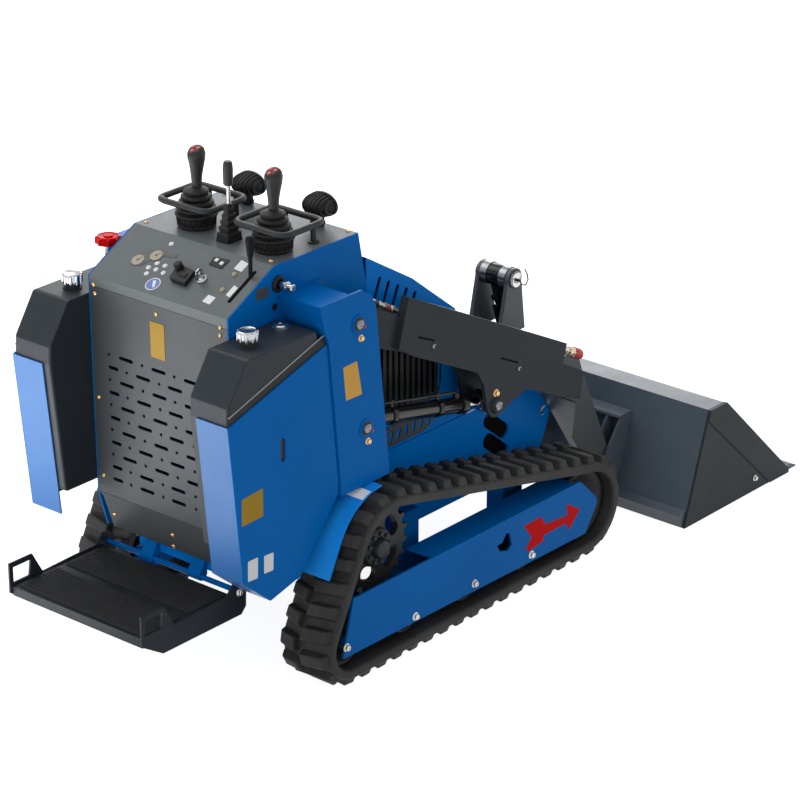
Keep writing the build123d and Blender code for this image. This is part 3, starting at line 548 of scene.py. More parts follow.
cut(shape, [sheet] + vents, 4, Vector((-836, 0, PANEL_FOOT)), (0, -1, 0), rise, soft=0.5)
lip_rise = Vector((-28, 0, 101))
lip = [(-PANEL_HALF, 0), (-PANEL_HALF + 12, -12), (-PANEL_HALF + 20, -104), (PANEL_HALF - 20, -104),
       (PANEL_HALF - 12, -12), (PANEL_HALF, 0)]
cut(shape, [lip], 4, Vector((-836, 0, PANEL_FOOT)), (0, -1, 0), lip_rise, soft=0.5)
put("rear_vent_panel", shape, "machine", [panel_grey], ["rear_panel"], sharp=25)
shape = bmesh.new()
for y, z in ((212, 948), (-203, 944), (209, 926), (5, 924), (-202, 924), (211, 655), (206, 448),
             (-204, 655), (-204, 448)):
    x = -844.5 + (945 - z) * 4.5 / 544 if z < 945.3 else -845.2
    dome_screw(shape, (x, y, z), (-1, 0, 0), 5.5)
for y, z in ((190, 340), (-10, 345), (-2, 309), (-190, 340)):
    dome_screw(shape, (-840 + (PANEL_FOOT - z) * 28 / 101, y, z), (-101, 0, -28), 5.5)
put("rear_panel_screws", shape, "machine", [brass])

# Stickers: blank printed vinyl, yellow or white, cut with rounded corners. The first of them
# is glued to the rear panel's face.
sticker_yellow = finish_of("yellow_vinyl", (0.34, 0.20, 0.014), 0.40, cloud=0.08, spec=0.1)
sticker_white = finish_of("white_vinyl", (0.72, 0.72, 0.70), 0.42, cloud=0.05, spec=0.2)
shape = bmesh.new()
cut(shape, [round_corners([(-26, 811), (21, 811), (21, 903), (-26, 903)], 3, 2)], 0.4,
    (-844.4, 0, 0), (0, -1, 0), rise, soft=0.1)
bmesh.ops.translate(shape, vec=(7.1, 0, 0), verts=shape.verts)
put("rear_panel_sticker", shape, "machine", [sticker_yellow])

# Instrument panel: one folded grey sheet. On its slope sit the gauge window, the key switch,
# lamps, buttons, labels and the throttle's slot.
# The instrument panel's grey is a lighter copy of the rear panel's grey: painted light for the sheen on its
# slope.
lit_slope_grey = finish_of("instrument_painted_light_grey", (0.106, 0.119, 0.125), 0.42, cloud=0.05, spec=0.15)
dress("instrument_panel", lit_slope_grey, 0.8)
CONSOLE_TOP = 1057.0
SLOPE_FOOT = Vector((-845, 0, CONSOLE_TOP - 86))
SLOPE_UP = Vector((162, 0, 86)).normalized()
SLOPE_OUT = Vector((-86, 0, 162)).normalized()
black_plastic = finish_of("black_plastic", (0.010, 0.010, 0.011), 0.5, cloud=0.2, dents=0.15,
                          spec=0.2)
dial_cream = finish_of("dial_cream", (0.30, 0.26, 0.18), 0.5, cloud=0.08)
# Pure black for slots and slits: painted shade standing for the dark inside their openings.
slot_shade_black = finish_of("slot_shade_black", (0.004, 0.004, 0.004), 0.8, cloud=0.1, spec=0.05)
window_grey = finish_of("window_grey", (0.040, 0.038, 0.032), 0.30, cloud=0.08, spec=0.3)
key_blue = finish_of("blue_vinyl", (0.03, 0.10, 0.38), 0.4, cloud=0.08)


def on_slope(s, y, lift=0.0):
    """A place on the slope: this far up it, at this y, and lifted off its face."""
    return SLOPE_FOOT + SLOPE_UP * s + Vector((0, y, 0)) + SLOPE_OUT * lift


def slope_plate(shape, corners, thick, lift, skin, round_by, soft=0.2):
    """A flat piece on the slope, from its (s, y) corners."""
    loop = round_corners([(-y, s) for s, y in corners], round_by, 3)
    cut(shape, [loop], thick, on_slope(0, 0, lift), (0, -1, 0), SLOPE_UP, soft, skin)


shape = bmesh.new()
window = [(67, 146), (95, 149), (116, 137), (132, 106), (138, 72), (132, 37), (120, 41), (113, 84),
          (86, 101), (68, 113), (63, 138)]
slope_plate(shape, window, 1.2, 0, 0, 6, 0.5)
inner_window = [(70, 143), (94, 146), (114, 134), (129, 105), (134, 72), (130, 42), (124, 43), (116, 87),
                (88, 104), (71, 116), (67, 137)]
slope_plate(shape, inner_window, 1.6, 0, 1, 5, 0.2)
for s, y in ((82, 131), (110, 93)):
    turn(shape, [(0, 1.2), (16.5, 1.2), (16.5, 2.4), (15.5, 2.6), (0, 2.6)], on_slope(s, y), SLOPE_OUT, 28, 2)
    turn(shape, [(0, 2.4), (3, 2.4), (3, 3.6), (0, 3.8)], on_slope(s, y), SLOPE_OUT, 12, 0)
    needle = [(s - 1, y - 1), (s + 12, y - 8), (s + 12.6, y - 7), (s + 1, y + 1)]
    slope_plate(shape, needle, 0.5, 2.5, 0, 0.2, 0.1)
    for mark in range(9):
        a = radians(-30 + 30 * mark)
        spot = on_slope(s + 13 * sin(a), y + 13 * cos(a), 2.5)
        turn(shape, [(0, 0), (0.9, 0), (0, 0.3)], spot, SLOPE_OUT, 6, 0)
put("gauge_window", shape, "machine", [lit_slope_grey, window_grey, dial_cream])
shape = bmesh.new()
for s, y in ((156, 82), (90, 74), (90, 48), (71, 87), (72, 63), (53, 78), (69, 36)):
    turn(shape, [(0, 0), (6.5, 0), (6.5, 1.2), (5.0, 2.2), (3.5, 3.4), (0, 4.0)], on_slope(s, y),
         SLOPE_OUT, 18, 0)
for s, y in ((126, -148), (74, -152)):
    turn(shape, [(0, 0), (7, 0), (7, 2), (5, 4.5), (0, 5.5)], on_slope(s, y), SLOPE_OUT, 20, 1)
put("panel_lamps_buttons", shape, "machine", [sticker_white, dial_cream])
shape = bmesh.new()
stub(shape, 20, 0, 0.5, on_slope(30, 38), SLOPE_OUT, 32, 1)
stub(shape, 17.5, 0.5, 0.8, on_slope(30, 38), SLOPE_OUT)
slope_plate(shape, [(42, 36), (40, 45), (20, 32), (22, 26)], 0.3, 0.8, 1, 2, 0.05)
slope_plate(shape, [(172, -134), (168, -160), (139, -160), (142, -133)], 0.5, 0, 1, 2)
slope_plate(shape, [(97, -171), (93, -186), (60, -186), (64, -171)], 0.5, 0, 1, 2)
slope_plate(shape, [(50, -127), (48, -152), (24, -151), (26, -126)], 0.5, 0, 1, 2)
put("panel_labels", shape, "machine", [key_blue, sticker_white])
shape = bmesh.new()
slope_plate(shape, [(101, 8), (95, -51), (50, -54), (53, -1)], 13, 0, 0, 5, 2)
turn(shape, [(0, 10), (11, 10), (11, 24), (8, 27), (0, 28)], on_slope(90, -5), SLOPE_OUT, 24, 0)
slope_plate(shape, [(84, -14), (80, -42), (66, -43), (68, -16)], 2.5, 13, 0, 3, 1)
slope_plate(shape, [(157, -58), (162, -106), (130, -104), (131, -61)], 2.0, 0, 0, 3, 0.6)
# The throttle's slot is a thin black strip on the slope: the shade in its opening, painted.
slope_plate(shape, [(154, -189), (154, -199), (45, -199), (45, -189)], 0.6, 0, 2, 5, 0.1)
for s, y in ((150, -72), (145, -92)):
    slope_plate(shape, [(s + 5, y + 5), (s + 5, y - 5), (s - 5, y - 5), (s - 5, y + 5)], 0.4, 2, 1, 1.5, 0.1)
put("switch_block", shape, "machine", [black_plastic, sticker_white, slot_shade_black])
shape = bmesh.new()
turn(shape, [(0, 0), (13, 0), (13, 4), (10, 6), (8, 12), (0, 12)], on_slope(84, -78), SLOPE_OUT, 24)
key_bow = [(-8, 10), (8, 10), (11, 16), (11, 28), (6, 34), (-6, 34), (-11, 28), (-11, 16)]
cut(shape, [round_corners(key_bow, 3, 3), ring(0, 25, 4, 12)], 2.4, on_slope(84, -78), SLOPE_UP,
    SLOPE_OUT, soft=0.6)
put("starter_key", shape, "machine", [chrome])
shape = bmesh.new()
for x, y in ((-661, 211), (-664, -201), (-392, -204), (-479, 40), (-392, 204)):
    dome_screw(shape, (x, y, CONSOLE_TOP), (0, 0, 1), 5.5)
put("top_panel_screws", shape, "machine", [brass])

# Hood: a folded blue cover over the engine, with slots cut through its sides and front. A
# black pressed screen covers each cooling intake, and a grille strip sits below; a black sheet behind the
# chassis slots there is painted shade.
hood_line = [(-351.5, 446), (-351.5, 983), (-178, 879), (-10, 749), (40, 600), (41, 446)]
HOOD_OUT, HOOD_SHEET = 226.0, 4.0
top_slots = []
for x, z in ((-313, 883), (-280, 863), (-246, 843), (-213, 825), (-180, 806)):
    top_slots.append(slot(x, z, 76, 12, 68))
screen = round_corners([(-335, 770), (-335, 530), (-66, 530), (-66, 640), (-140, 770)], 60, 8)
screen_hole = round_corners([(-325, 760), (-325, 540), (-76, 540), (-76, 640), (-146, 760)], 55, 8)
screen_slots = []
for number, x in enumerate(range(-318, -75, 22)):
    top = 752 if x < -150 else 752 - (x + 150) * 1.5
    if number in (0, 11):
        top -= 20
    low = 556 if number in (0, 11) else 548
    screen_slots.append(slot(x, (top + low) / 2, top - low, 9, 90))
vent_black = finish_of("vent_black", (0.010, 0.010, 0.011), 0.5, cloud=0.2, dents=0.2, spec=0.2)
for side, hand in SIDES:
    shape = bmesh.new()
    side_plate(shape, [round_corners(hood_line, 6, 3)] + top_slots + [screen_hole], side,
               HOOD_OUT - HOOD_SHEET, HOOD_SHEET, 0.8)
    # The hood sides take the lighter copy of the blue: painted light over their shade.
    put("hood_side_" + hand, shape, "machine", [shade_lightened_blue], ["hood"])
    shape = bmesh.new()
    side_plate(shape, [screen] + screen_slots, side, HOOD_OUT - 1, 3, 0.8)
    put("intake_screen_" + hand, shape, "machine", [vent_black], ["hood"])
shape = bmesh.new()
inner_line = [(37, 450), (36, 599), (-13, 746), (-180, 875), (-347, 976), (-347.5, 983)]
top_sheet = round_corners(hood_line[1:] + inner_line[:-1], 8, 4)
cut(shape, [top_sheet], 2 * (HOOD_OUT - HOOD_SHEET), (0, HOOD_OUT - HOOD_SHEET, 0), soft=0.3)
put("hood_top", shape, "machine", [blue_paint], ["hood"])
shape = bmesh.new()
front_slots = [slot(y, z, 52, 11, 0) for z in range(480, 590, 26) for y in range(-150, 160, 75)]
front = round_corners([(-190, 458), (190, 458), (190, 604), (-190, 604)], 18, 5)
cut(shape, [front] + front_slots, 3, (40.2, 0, 0), (0, 1, 0), (0, 0, 1), soft=0.8)
put("front_screen", shape, "machine", [vent_black], ["hood"])
strip_slots = [slot(x, 480, 30, 12, 78) for x in range(-262, -100, 29)]
strip = round_corners([(-282, 508), (-282, 454), (-130, 454), (-92, 474), (-92, 508)], 10, 4)
shade_sheet = round_corners([(88, 284), (232, 284), (232, 404), (88, 404)], 6, 3)
for side, hand in SIDES:
    shape = bmesh.new()
    side_plate(shape, [strip] + strip_slots, side, HOOD_OUT, 3, 0.8)
    put("lower_grille_" + hand, shape, "machine", [panel_grey], ["side_grilles"])
    shape = bmesh.new()
    # A black sheet just inside the side, behind the chassis slots: painted shade in them.
    side_plate(shape, [shade_sheet], side, HOOD_OUT - 6, 1.6, 0.4)
    put("slot_shade_sheet_" + hand, shape, "machine", [slot_shade_black])

# Arm towers: folded and welded plate boxes beside the console. Chromed pins with keeper
# bolts and red grease caps carry the arm and the lift cylinder in them.
dress("arm_towers", blue_paint, 0)
pin_chrome = finish_of("pin_chrome", (0.20, 0.21, 0.22), 0.22, cloud=0.15, metal=1.0)
grease_red = finish_of("grease_cap_red", (0.50, 0.01, 0.008), 0.4, cloud=0.1)
TOWER_FACE = 360.0
for side, hand in SIDES:
    out = Vector((0, side, 0))
    shape = bmesh.new()
    for x, z, keeper_x, keeper_z in ((-535, 900, -526, 861), (-509, 623, -502, 586)):
        face = (x, side * TOWER_FACE, z)
        turn(shape, [(0, -129), (20, -129), (20, 0.2), (24, 0.2), (24, 2.4), (22.5, 3), (0, 3)],
             face, out, 40, 3)
        turn(shape, [(0, 3), (17.5, 3), (17.5, 4.6), (14.5, 5.2), (0, 5.2)], face, out, 32, 4)
        turn(shape, [(0, 5.2), (13, 5.2), (12, 8.4), (8.6, 10.8), (4.4, 11.4), (3, 9.4), (0, 9.4)],
             face, out, 32, 0)
        turn(shape, [(0, 0), (7, 0), (7, 2), (5, 4), (3.4, 5), (3.4, 8), (0, 9)],
             (x + 15, side * (TOWER_FACE + 0.4), z - 9), out, 14, 2)
        bolt(shape, (keeper_x, side * TOWER_FACE, keeper_z), out, 9, 1)
    put("tower_pins_" + hand, shape, "machine",
        [pin_chrome, brass, grease_red, blue_paint, cast_black], ["tower_pins"])
shape = bmesh.new()
sticker(shape, [(-591, 805), (-541, 807), (-523, 716), (-581, 717)], TOWER_FACE)
tower_yellow = finish_of("tower_sticker_yellow", (0.58, 0.29, 0.012), 0.45, cloud=0.03)
put("tower_sticker", shape, "machine", [tower_yellow])
CONSOLE_SIDE = 230.0
RIGHTWARD = (0, -1, 0)
shape = bmesh.new()
socket = (-673, -CONSOLE_SIDE, 1010)
turn(shape, [(0, 0), (21, 0), (21, 4), (17, 8), (13, 8), (13, 3), (0, 3)], socket, RIGHTWARD, 32, 0)
turn(shape, [(0, 3), (9, 3), (9, 18), (12.5, 18), (12.5, 30), (8, 31), (8, 40), (10, 42), (10, 48),
             (7, 51), (0, 51)], socket, RIGHTWARD, 24, 1)
stub(shape, 9, 0, 0.6, (-685, -CONSOLE_SIDE, 955), RIGHTWARD, 20)
plate = round_corners([(-749, 1017), (-706, 1014), (-705, 989), (-748, 987)], 3, 2)
cut(shape, [plate], 0.8, (0, -CONSOLE_SIDE, 0), soft=0.2, skin=2)
put("side_fitting", shape, "machine", [black_plastic, chrome, panel_grey])

# Tanks: two moulded plastic tanks on the console's sides, closed by chromed and red caps.
# A black edge strip with a pale bead lies between each tank and its guard.
tank_black = finish_of("tank_plastic", (0.025, 0.031, 0.037), 0.40, cloud=0.10, grain=300,
                       dents=0.25, spec=0.14)
dress("hydraulic_tank", tank_black, 7)
dress("fuel_tank", tank_black, 7)
TANK_TOP = 922.0


def grip_cap(shape, x, y, z, r, high, grips, skin, depth):
    """A screw cap: a skirt with finger grips, a rolled top rim and a dished lid."""
    turn(shape, [(0, 0), (r * 0.9, 0), (r * 0.94, 2), (r * 0.94, high - 5), (r * 0.9, high - 1.5),
                 (r * 0.82, high), (r * 0.74, high - 1.2), (r * 0.3, high - 2.2), (0, high - 2.2)],
         (x, y, z), (0, 0, 1), 48, skin)
    for number in range(grips):
        a = 2 * pi * number / grips
        spot = (x + (r * 0.94 - 1) * cos(a), y + (r * 0.94 - 1) * sin(a), z + 1)
        turn(shape, [(0, 0), (depth, 0), (depth, high - 5), (depth * 0.6, high - 3), (0, high - 2.6)],
             spot, steps=10, skin=skin)


shape = bmesh.new()
for x, y in ((-842, -288), (-842, 288)):
    turn(shape, [(0, 0), (24, 0), (24, 3), (19, 4), (19, 14), (0, 14)], (x, y, TANK_TOP), steps=36)
    grip_cap(shape, x, y, TANK_TOP + 12, 25, 26, 10, 1, 4.0)
OIL_X, OIL_Y, OIL_CAP_FOOT = -716.0, 288.0, TANK_TOP + 78
turn(shape, [(0, 0), (22, 0), (22, 4), (17, 5), (17, 34), (19, 35), (19, 41), (17, 42), (17, 78), (0, 78)],
     (OIL_X, OIL_Y, TANK_TOP), steps=36, skin=2)
for number in range(4):
    a = pi / 2 * number + 0.5
    bolt(shape, (OIL_X + 24 * cos(a), OIL_Y + 24 * sin(a), TANK_TOP), (0, 0, 1), 4, washer=False)
put("filler_caps", shape, "machine", [cast_black, chrome, zinc], ["tank_caps"])
shape = bmesh.new()
grip_cap(shape, OIL_X, OIL_Y, OIL_CAP_FOOT, 31, 20, 8, 0, 5.0)
turn(shape, [(0, 17), (12, 17), (11, 21), (0, 22)], (OIL_X, OIL_Y, OIL_CAP_FOOT), steps=24)
put("oil_cap", shape, "machine", [arrow_red], ["tank_caps"])
shape = bmesh.new()
turn(shape, [(0, 0), (22, 0), (22, 2.5), (16, 4), (14, 7), (6, 7), (5, 6), (0, 6)],
     (-708, -268, TANK_TOP), steps=28)
put("sender_cover", shape, "machine", [zinc], ["tank_caps"])
bead_grey = finish_of("edge_bead", (0.30, 0.30, 0.30), 0.4, cloud=0.1)


def bar(shape, points, radius, closed=False, skin=0, resolution=3):
    """A round bar bent along points."""
    drawn = bpy.data.curves.new("bar", "CURVE")
    drawn.dimensions = "3D"
    drawn.bevel_depth = radius
    drawn.bevel_resolution = resolution
    drawn.use_fill_caps = True
    line = drawn.splines.new("POLY")
    line.points.add(len(points) - 1)
    for point, place in zip(line.points, points):
        point.co = (*place, 1)
    line.use_cyclic_u = closed
    take(shape, drawn, Matrix.Identity(4), skin)


for side, hand in SIDES:
    shape = bmesh.new()
    side_plate(shape, [[(-978, 776), (-977, 797), (-648, 903), (-640, 884), (-642, 876)]], side,
               351.6, 0.8, 0.2)
    bead = [(x, side * 352.3, z) for x, z in ((-979, 799), (-660, 901), (-646, 904))]
    bar(shape, bead, 1.6, skin=1)
    put("tank_edge_strip_" + hand, shape, "machine", [black_plastic, bead_grey])

# Tank guards: blue plates folded round each tank's side and back and screwed on below. Three
# blank stickers sit on the right one, and a white band on the fender's bend below it is a painted highlight.


def loft(shape, loops):
    """A closed skin over loops of equal length, capped at both ends."""
    rows = [[shape.verts.new(Vector(spot)) for spot in loop] for loop in loops]
    for low, high in zip(rows, rows[1:]):
        for k in range(len(low)):
            n = (k + 1) % len(low)
            shape.faces.new((low[k], low[n], high[n], high[k]))
    shape.faces.new(rows[0][::-1])
    shape.faces.new(rows[-1])


GUARD_SIDE, GUARD_SHEET = 351.7, 4.0
TANK_GUARD_FACE = GUARD_SIDE + GUARD_SHEET
# A paler, glossier copy of the blue for the guards' back plates: a painted sheen on them.
sheen_painted_blue = finish_of("blue_paint_painted_sheen", (0.028, 0.122, 0.345), 0.34, cloud=0.04, spec=0.2,
                        sheen=(0.6, 0.8, 1.0))
guard_line = [(-986, 776), (-642, 879), (-605, 517), (-605, 482)]
for side, hand in SIDES:
    shape = bmesh.new()
    low_edge = [(-747, 312), (-851, 287)] if side < 0 else [(-704, 364)]
    outline = round_corners(guard_line + low_edge + [(-944, 364)], 4, 3)
    side_plate(shape, [outline, slot(-800, 661, 60, 17, 90)], side, GUARD_SIDE, GUARD_SHEET, 1.2)
    back = [(-986, 776), (-944, 364), (-851, 287), (-849, 290), (-940, 366), (-982, 776)]
    if side > 0:
        back = [(-986, 776), (-944, 364), (-940, 364), (-982, 776)]
    # The back plates take the blue with the painted sheen.
    side_plate(shape, [back], side, GUARD_SIDE - 98, 100, 0.5, 1)
    put("tank_guard_" + hand, shape, "machine", [blue_paint, sheen_painted_blue], ["tank_guards"], sharp=25)
shape = bmesh.new()
sticker(shape, [(-945, 583), (-872, 589), (-873, 517), (-946, 515)], TANK_GUARD_FACE)
sticker(shape, [(-929, 366), (-895, 364), (-893, 418), (-928, 418)], TANK_GUARD_FACE, 1)
sticker(shape, [(-873, 367), (-841, 365), (-839, 411), (-872, 413)], TANK_GUARD_FACE, 1)
put("guard_stickers", shape, "machine", [sticker_yellow, sticker_white])
shape = bmesh.new()
# A thin white band along the fender's upper bend: a painted highlight.
band = []
for step in range(12):
    hoop = []
    for r, y in ((176.2, -386), (176.7, -386), (176.7, -296), (176.2, -296)):
        x, z = round_sprocket(r, radians(104.5 + step))
        hoop.append((x, y, z))
    band.append(hoop)
loft(shape, band)
highlight_paint = finish_of("fender_highlight_white", (0.92, 0.92, 0.92), 0.4, cloud=0.03)
put("fender_painted_highlight", shape, "machine", [highlight_paint])

# Joysticks: rubber bellows on a netted base and a moulded grip with three red buttons, each
# inside a loop of black round bar that stands on two posts.


def grip_loop(x, y, z, along, wide, lean):
    """An egg-shaped ring round a grip, leaning back by some degrees."""
    points = []
    for k in range(24):
        a = 2 * pi * k / 24
        u, v = along * cos(a), wide * sin(a) * (1 + 0.08 * cos(a))
        points.append((x + u * cos(radians(lean)), y + v, z + u * sin(radians(lean))))
    return points


bellows_rubber = finish_of("bellows_rubber", (0.010, 0.010, 0.011), 0.58, cloud=0.25, dents=0.4, spec=0.25)
grip_black = finish_of("grip_black", (0.015, 0.016, 0.017), 0.46, cloud=0.15, grain=260, dents=0.35,
                       spec=0.3)
button_red = finish_of("button_red", (0.55, 0.012, 0.02), 0.3, cloud=0.08)
bellows = [(0, 0), (46, 0), (48, 5), (45, 9), (47, 25), (53, 31), (52, 35), (44, 39), (49, 45), (48, 49),
           (40, 53), (44, 60), (43, 64), (35, 68), (38, 74), (37, 78), (29, 82), (32, 88), (30, 92),
           (19, 97), (14, 99), (0, 99)]
grip = [(1150, 0, 12.5, 12.5, 0), (1166, 0, 12.5, 12.5, 0), (1186, 0, 14.5, 14, 0), (1206, 1, 17.5, 17, 3),
        (1222, 2, 21, 20, 10), (1235, 1, 23.5, 22, 16), (1245, -1, 22.5, 21, 20), (1251, -2, 18, 17.5, 22),
        (1253.5, -2, 12, 12, 22)]
ON_TOP = CONSOLE_TOP + 0.3
NET_BARS = 22
for x, y, hand in ((-598, 102, "left"), (-600, -150, "right")):
    shape = bmesh.new()
    turn(shape, bellows, (x, y, ON_TOP), steps=48)
    for number in range(NET_BARS):
        a = 2 * pi * number / NET_BARS
        for lean in (-0.17, 0.17):
            low = (x + 46.5 * cos(a), y + 46.5 * sin(a), 1064)
            high = (x + 48.5 * cos(a + lean), y + 48.5 * sin(a + lean), 1083)
            bar(shape, [low, high], 1.3, resolution=0)
    put("joystick_bellows_" + hand, shape, "machine", [bellows_rubber], ["joysticks"])
    shape = bmesh.new()
    loft(shape, [grip_loop(x + 3 + dx, y, z, long, wide, lean) for z, dx, long, wide, lean in grip])
    put("joystick_grip_" + hand, shape, "machine", [grip_black], ["joysticks"], sharp=60)
    shape = bmesh.new()
    lid = Vector((-sin(radians(22)), 0, cos(radians(22))))
    for dx, dy in ((-10, 0), (3, -7.5), (3, 7.5)):
        spot = Vector((x + 1 + dx, y + dy, 1252 + dx * 0.40))
        turn(shape, [(0, -4), (5.4, -4), (5.4, 1.8), (4.2, 3.2), (0, 3.8)], spot, lid, 18)
    put("joystick_buttons_" + hand, shape, "machine", [button_red], ["joysticks"])
    centre_x, centre_y = x + 23, y + 2
    shape = bmesh.new()
    loop = round_corners([(-72, -82), (72, -82), (72, 82), (-72, 82)], 27, 8)
    bar(shape, [(centre_x + a, centre_y + b, 1120) for a, b in loop], 8, closed=True, resolution=4)
    for dy in (-45, 45):
        post = (centre_x + 72, centre_y + dy, ON_TOP)
        turn(shape, [(0, 0), (14, 0), (14, 4), (7, 5), (7, 62), (0, 62)], post, steps=24)
    put("joystick_loop_" + hand, shape, "machine", [grip_black], ["control_guards"])

# Levers: the attachment lever is a moulded grip on a plated rod in a square rubber boot. The
# throttle is a black plastic knob on a rod that comes up through the slope's slot.
LEVER_X, LEVER_Y = -622, -28


def boot_loop(z, along, wide, corner=6):
    """A rounded rectangle lying flat round the attachment lever."""
    outline = [(-along, -wide), (along, -wide), (along, wide), (-along, wide)]
    return [(LEVER_X + a, LEVER_Y + b, z) for a, b in round_corners(outline, corner, 3)]


boot = [boot_loop(ON_TOP, 27, 21), boot_loop(1068, 26, 20)]
for number in range(5):
    share = 1 - 0.13 * number
    for lift, along, wide in ((0, 25, 20), (5, 25, 20), (9, 20, 15), (12, 20, 15)):
        boot.append(boot_loop(1072 + 15 * number + lift, along * share, wide * share))
boot.append(boot_loop(1149, 8, 8, 5))
shape = bmesh.new()
loft(shape, boot)
turn(shape, [(0, 0), (10, 0), (12, 4), (12.5, 40), (11, 56), (8, 60), (0, 60)],
     (LEVER_X, LEVER_Y, 1196), steps=28, skin=1)
stub(shape, 5, 0, 52, (LEVER_X, LEVER_Y, 1147), steps=16, skin=2)
put("attachment_lever", shape, "machine", [bellows_rubber, grip_black, chrome], ["control_levers"])
shape = bmesh.new()
stub(shape, 5, 0, 47, (-727.5, -194, 1036.6), steps=16)
turn(shape, [(0, 0), (6, 0), (7.5, 6), (11, 38), (11.5, 46), (9, 52), (4, 54), (0, 54)],
     (-727.5, -194, 1081.6), steps=28)
lever_black = finish_of("throttle_black", (0.006, 0.006, 0.007), 0.6, cloud=0.1, dents=0.15, spec=0.1)
put("throttle_lever", shape, "machine", [lever_black], ["control_levers"])

# Work lamps: finned black housings with clear moulded lenses. Each is bolted to a foot that
# stands on the console's front edge.
lens_clear = finish_of("lamp_lens", (0.62, 0.65, 0.68), 0.12, cloud=0.04, spec=0.7)
LAMP_X, LAMP_Z = -388.0, 1105.0


def lamp_oval(x, y, wide, high):
    """An upright oval in a lamp, at this x, round the lamp's middle."""
    return [(x, y + a, LAMP_Z + b) for a, b in
            ((wide * cos(2 * pi * k / 40), high * sin(2 * pi * k / 40)) for k in range(40))]


lamp_rims = [(LAMP_X, 46, 31), (-381, 46, 31), (-380.2, 44, 29), (-382.5, 41, 26), (-384, 40, 25)]
lens_rims = [(-385, 40, 25), (-382.6, 40, 25), (-381.4, 30, 18), (-381, 12, 7)]
lamp_foot = round_corners([(-414, ON_TOP), (-396, ON_TOP), (-398, 1082), (-412, 1082)], 3)
for y, hand in ((-117, "right"), (117, "left")):
    shape = bmesh.new()
    shells = []
    for share in (0.10, 0.45, 0.70, 0.86, 0.96, 1.0):
        back = LAMP_X - 50 * (1 - share ** 2) ** 0.5
        shells.append(lamp_oval(back, y, 43 * share, 28 * share))
    for x, wide, high in lamp_rims:
        shells.append(lamp_oval(x, y, wide, high))
    loft(shape, shells)
    for dy in range(-36, 37, 9):
        share = (1 - (dy / 46) ** 2) ** 0.5
        fin = [(LAMP_X - (50 * share + 1) * sin(pi * k / 16), LAMP_Z - 30 * share * cos(pi * k / 16))
               for k in range(17)]
        cut(shape, [fin], 2.6, (0, y + dy + 1.3, 0), soft=0.6)
    cut(shape, [lamp_foot], 34, (0, y + 17, 0), soft=1.5)
    bolt(shape, (-405, y - 17, 1068), RIGHTWARD, 7)
    put("lamp_housing_" + hand, shape, "machine", [vent_black], ["work_lamps"])
    shape = bmesh.new()
    loft(shape, [lamp_oval(x, y, wide, high) for x, wide, high in lens_rims])
    put("lamp_lens_" + hand, shape, "machine", [lens_clear], ["work_lamps"], sharp=60)

# Operator's platform: a folded steel deck with two ribbed rubber mats, hinged on a rod in
# blue brackets under the console.
deck_black = finish_of("deck_paint", (0.018, 0.022, 0.028), 0.40, cloud=0.10, spec=0.08, dust=0.02)
mat_rubber = finish_of("mat_rubber", (0.022, 0.022, 0.023), 0.7, cloud=0.2, dents=0.5, spec=0.2)
dress("platform_deck", deck_black, 1.5)
dress("step_bracket", blue_paint, 1.2)
DECK_TOP = 255.0


def oblong(x, half_long, half_wide):
    """The corners of a rectangle across the deck, round this x."""
    return [(x - half_long, -half_wide), (x + half_long, -half_wide), (x + half_long, half_wide),
            (x - half_long, half_wide)]


shape = bmesh.new()
for middle in (-1074, -916):
    mat_outline = round_corners(oblong(middle, 65, 210), 10, 4)
    cut(shape, [mat_outline], 2.6, (0, 0, DECK_TOP), (1, 0, 0), (0, 1, 0), soft=0.8)
    for number in range(12):
        rib = oblong(middle - 58 + number * 10.5, 2.6, 203)
        cut(shape, [rib], 1.6, (0, 0, DECK_TOP + 2.4), (1, 0, 0), (0, 1, 0), soft=0.6)
put("deck_mats", shape, "platform", [mat_rubber], ["platform_mats"])
shape = bmesh.new()
for side in (-1, 1):
    bolt(shape, (-820, side * 225, 258), (0, side, 0), 11, 0)
put("hinge_nuts", shape, "platform", [zinc])

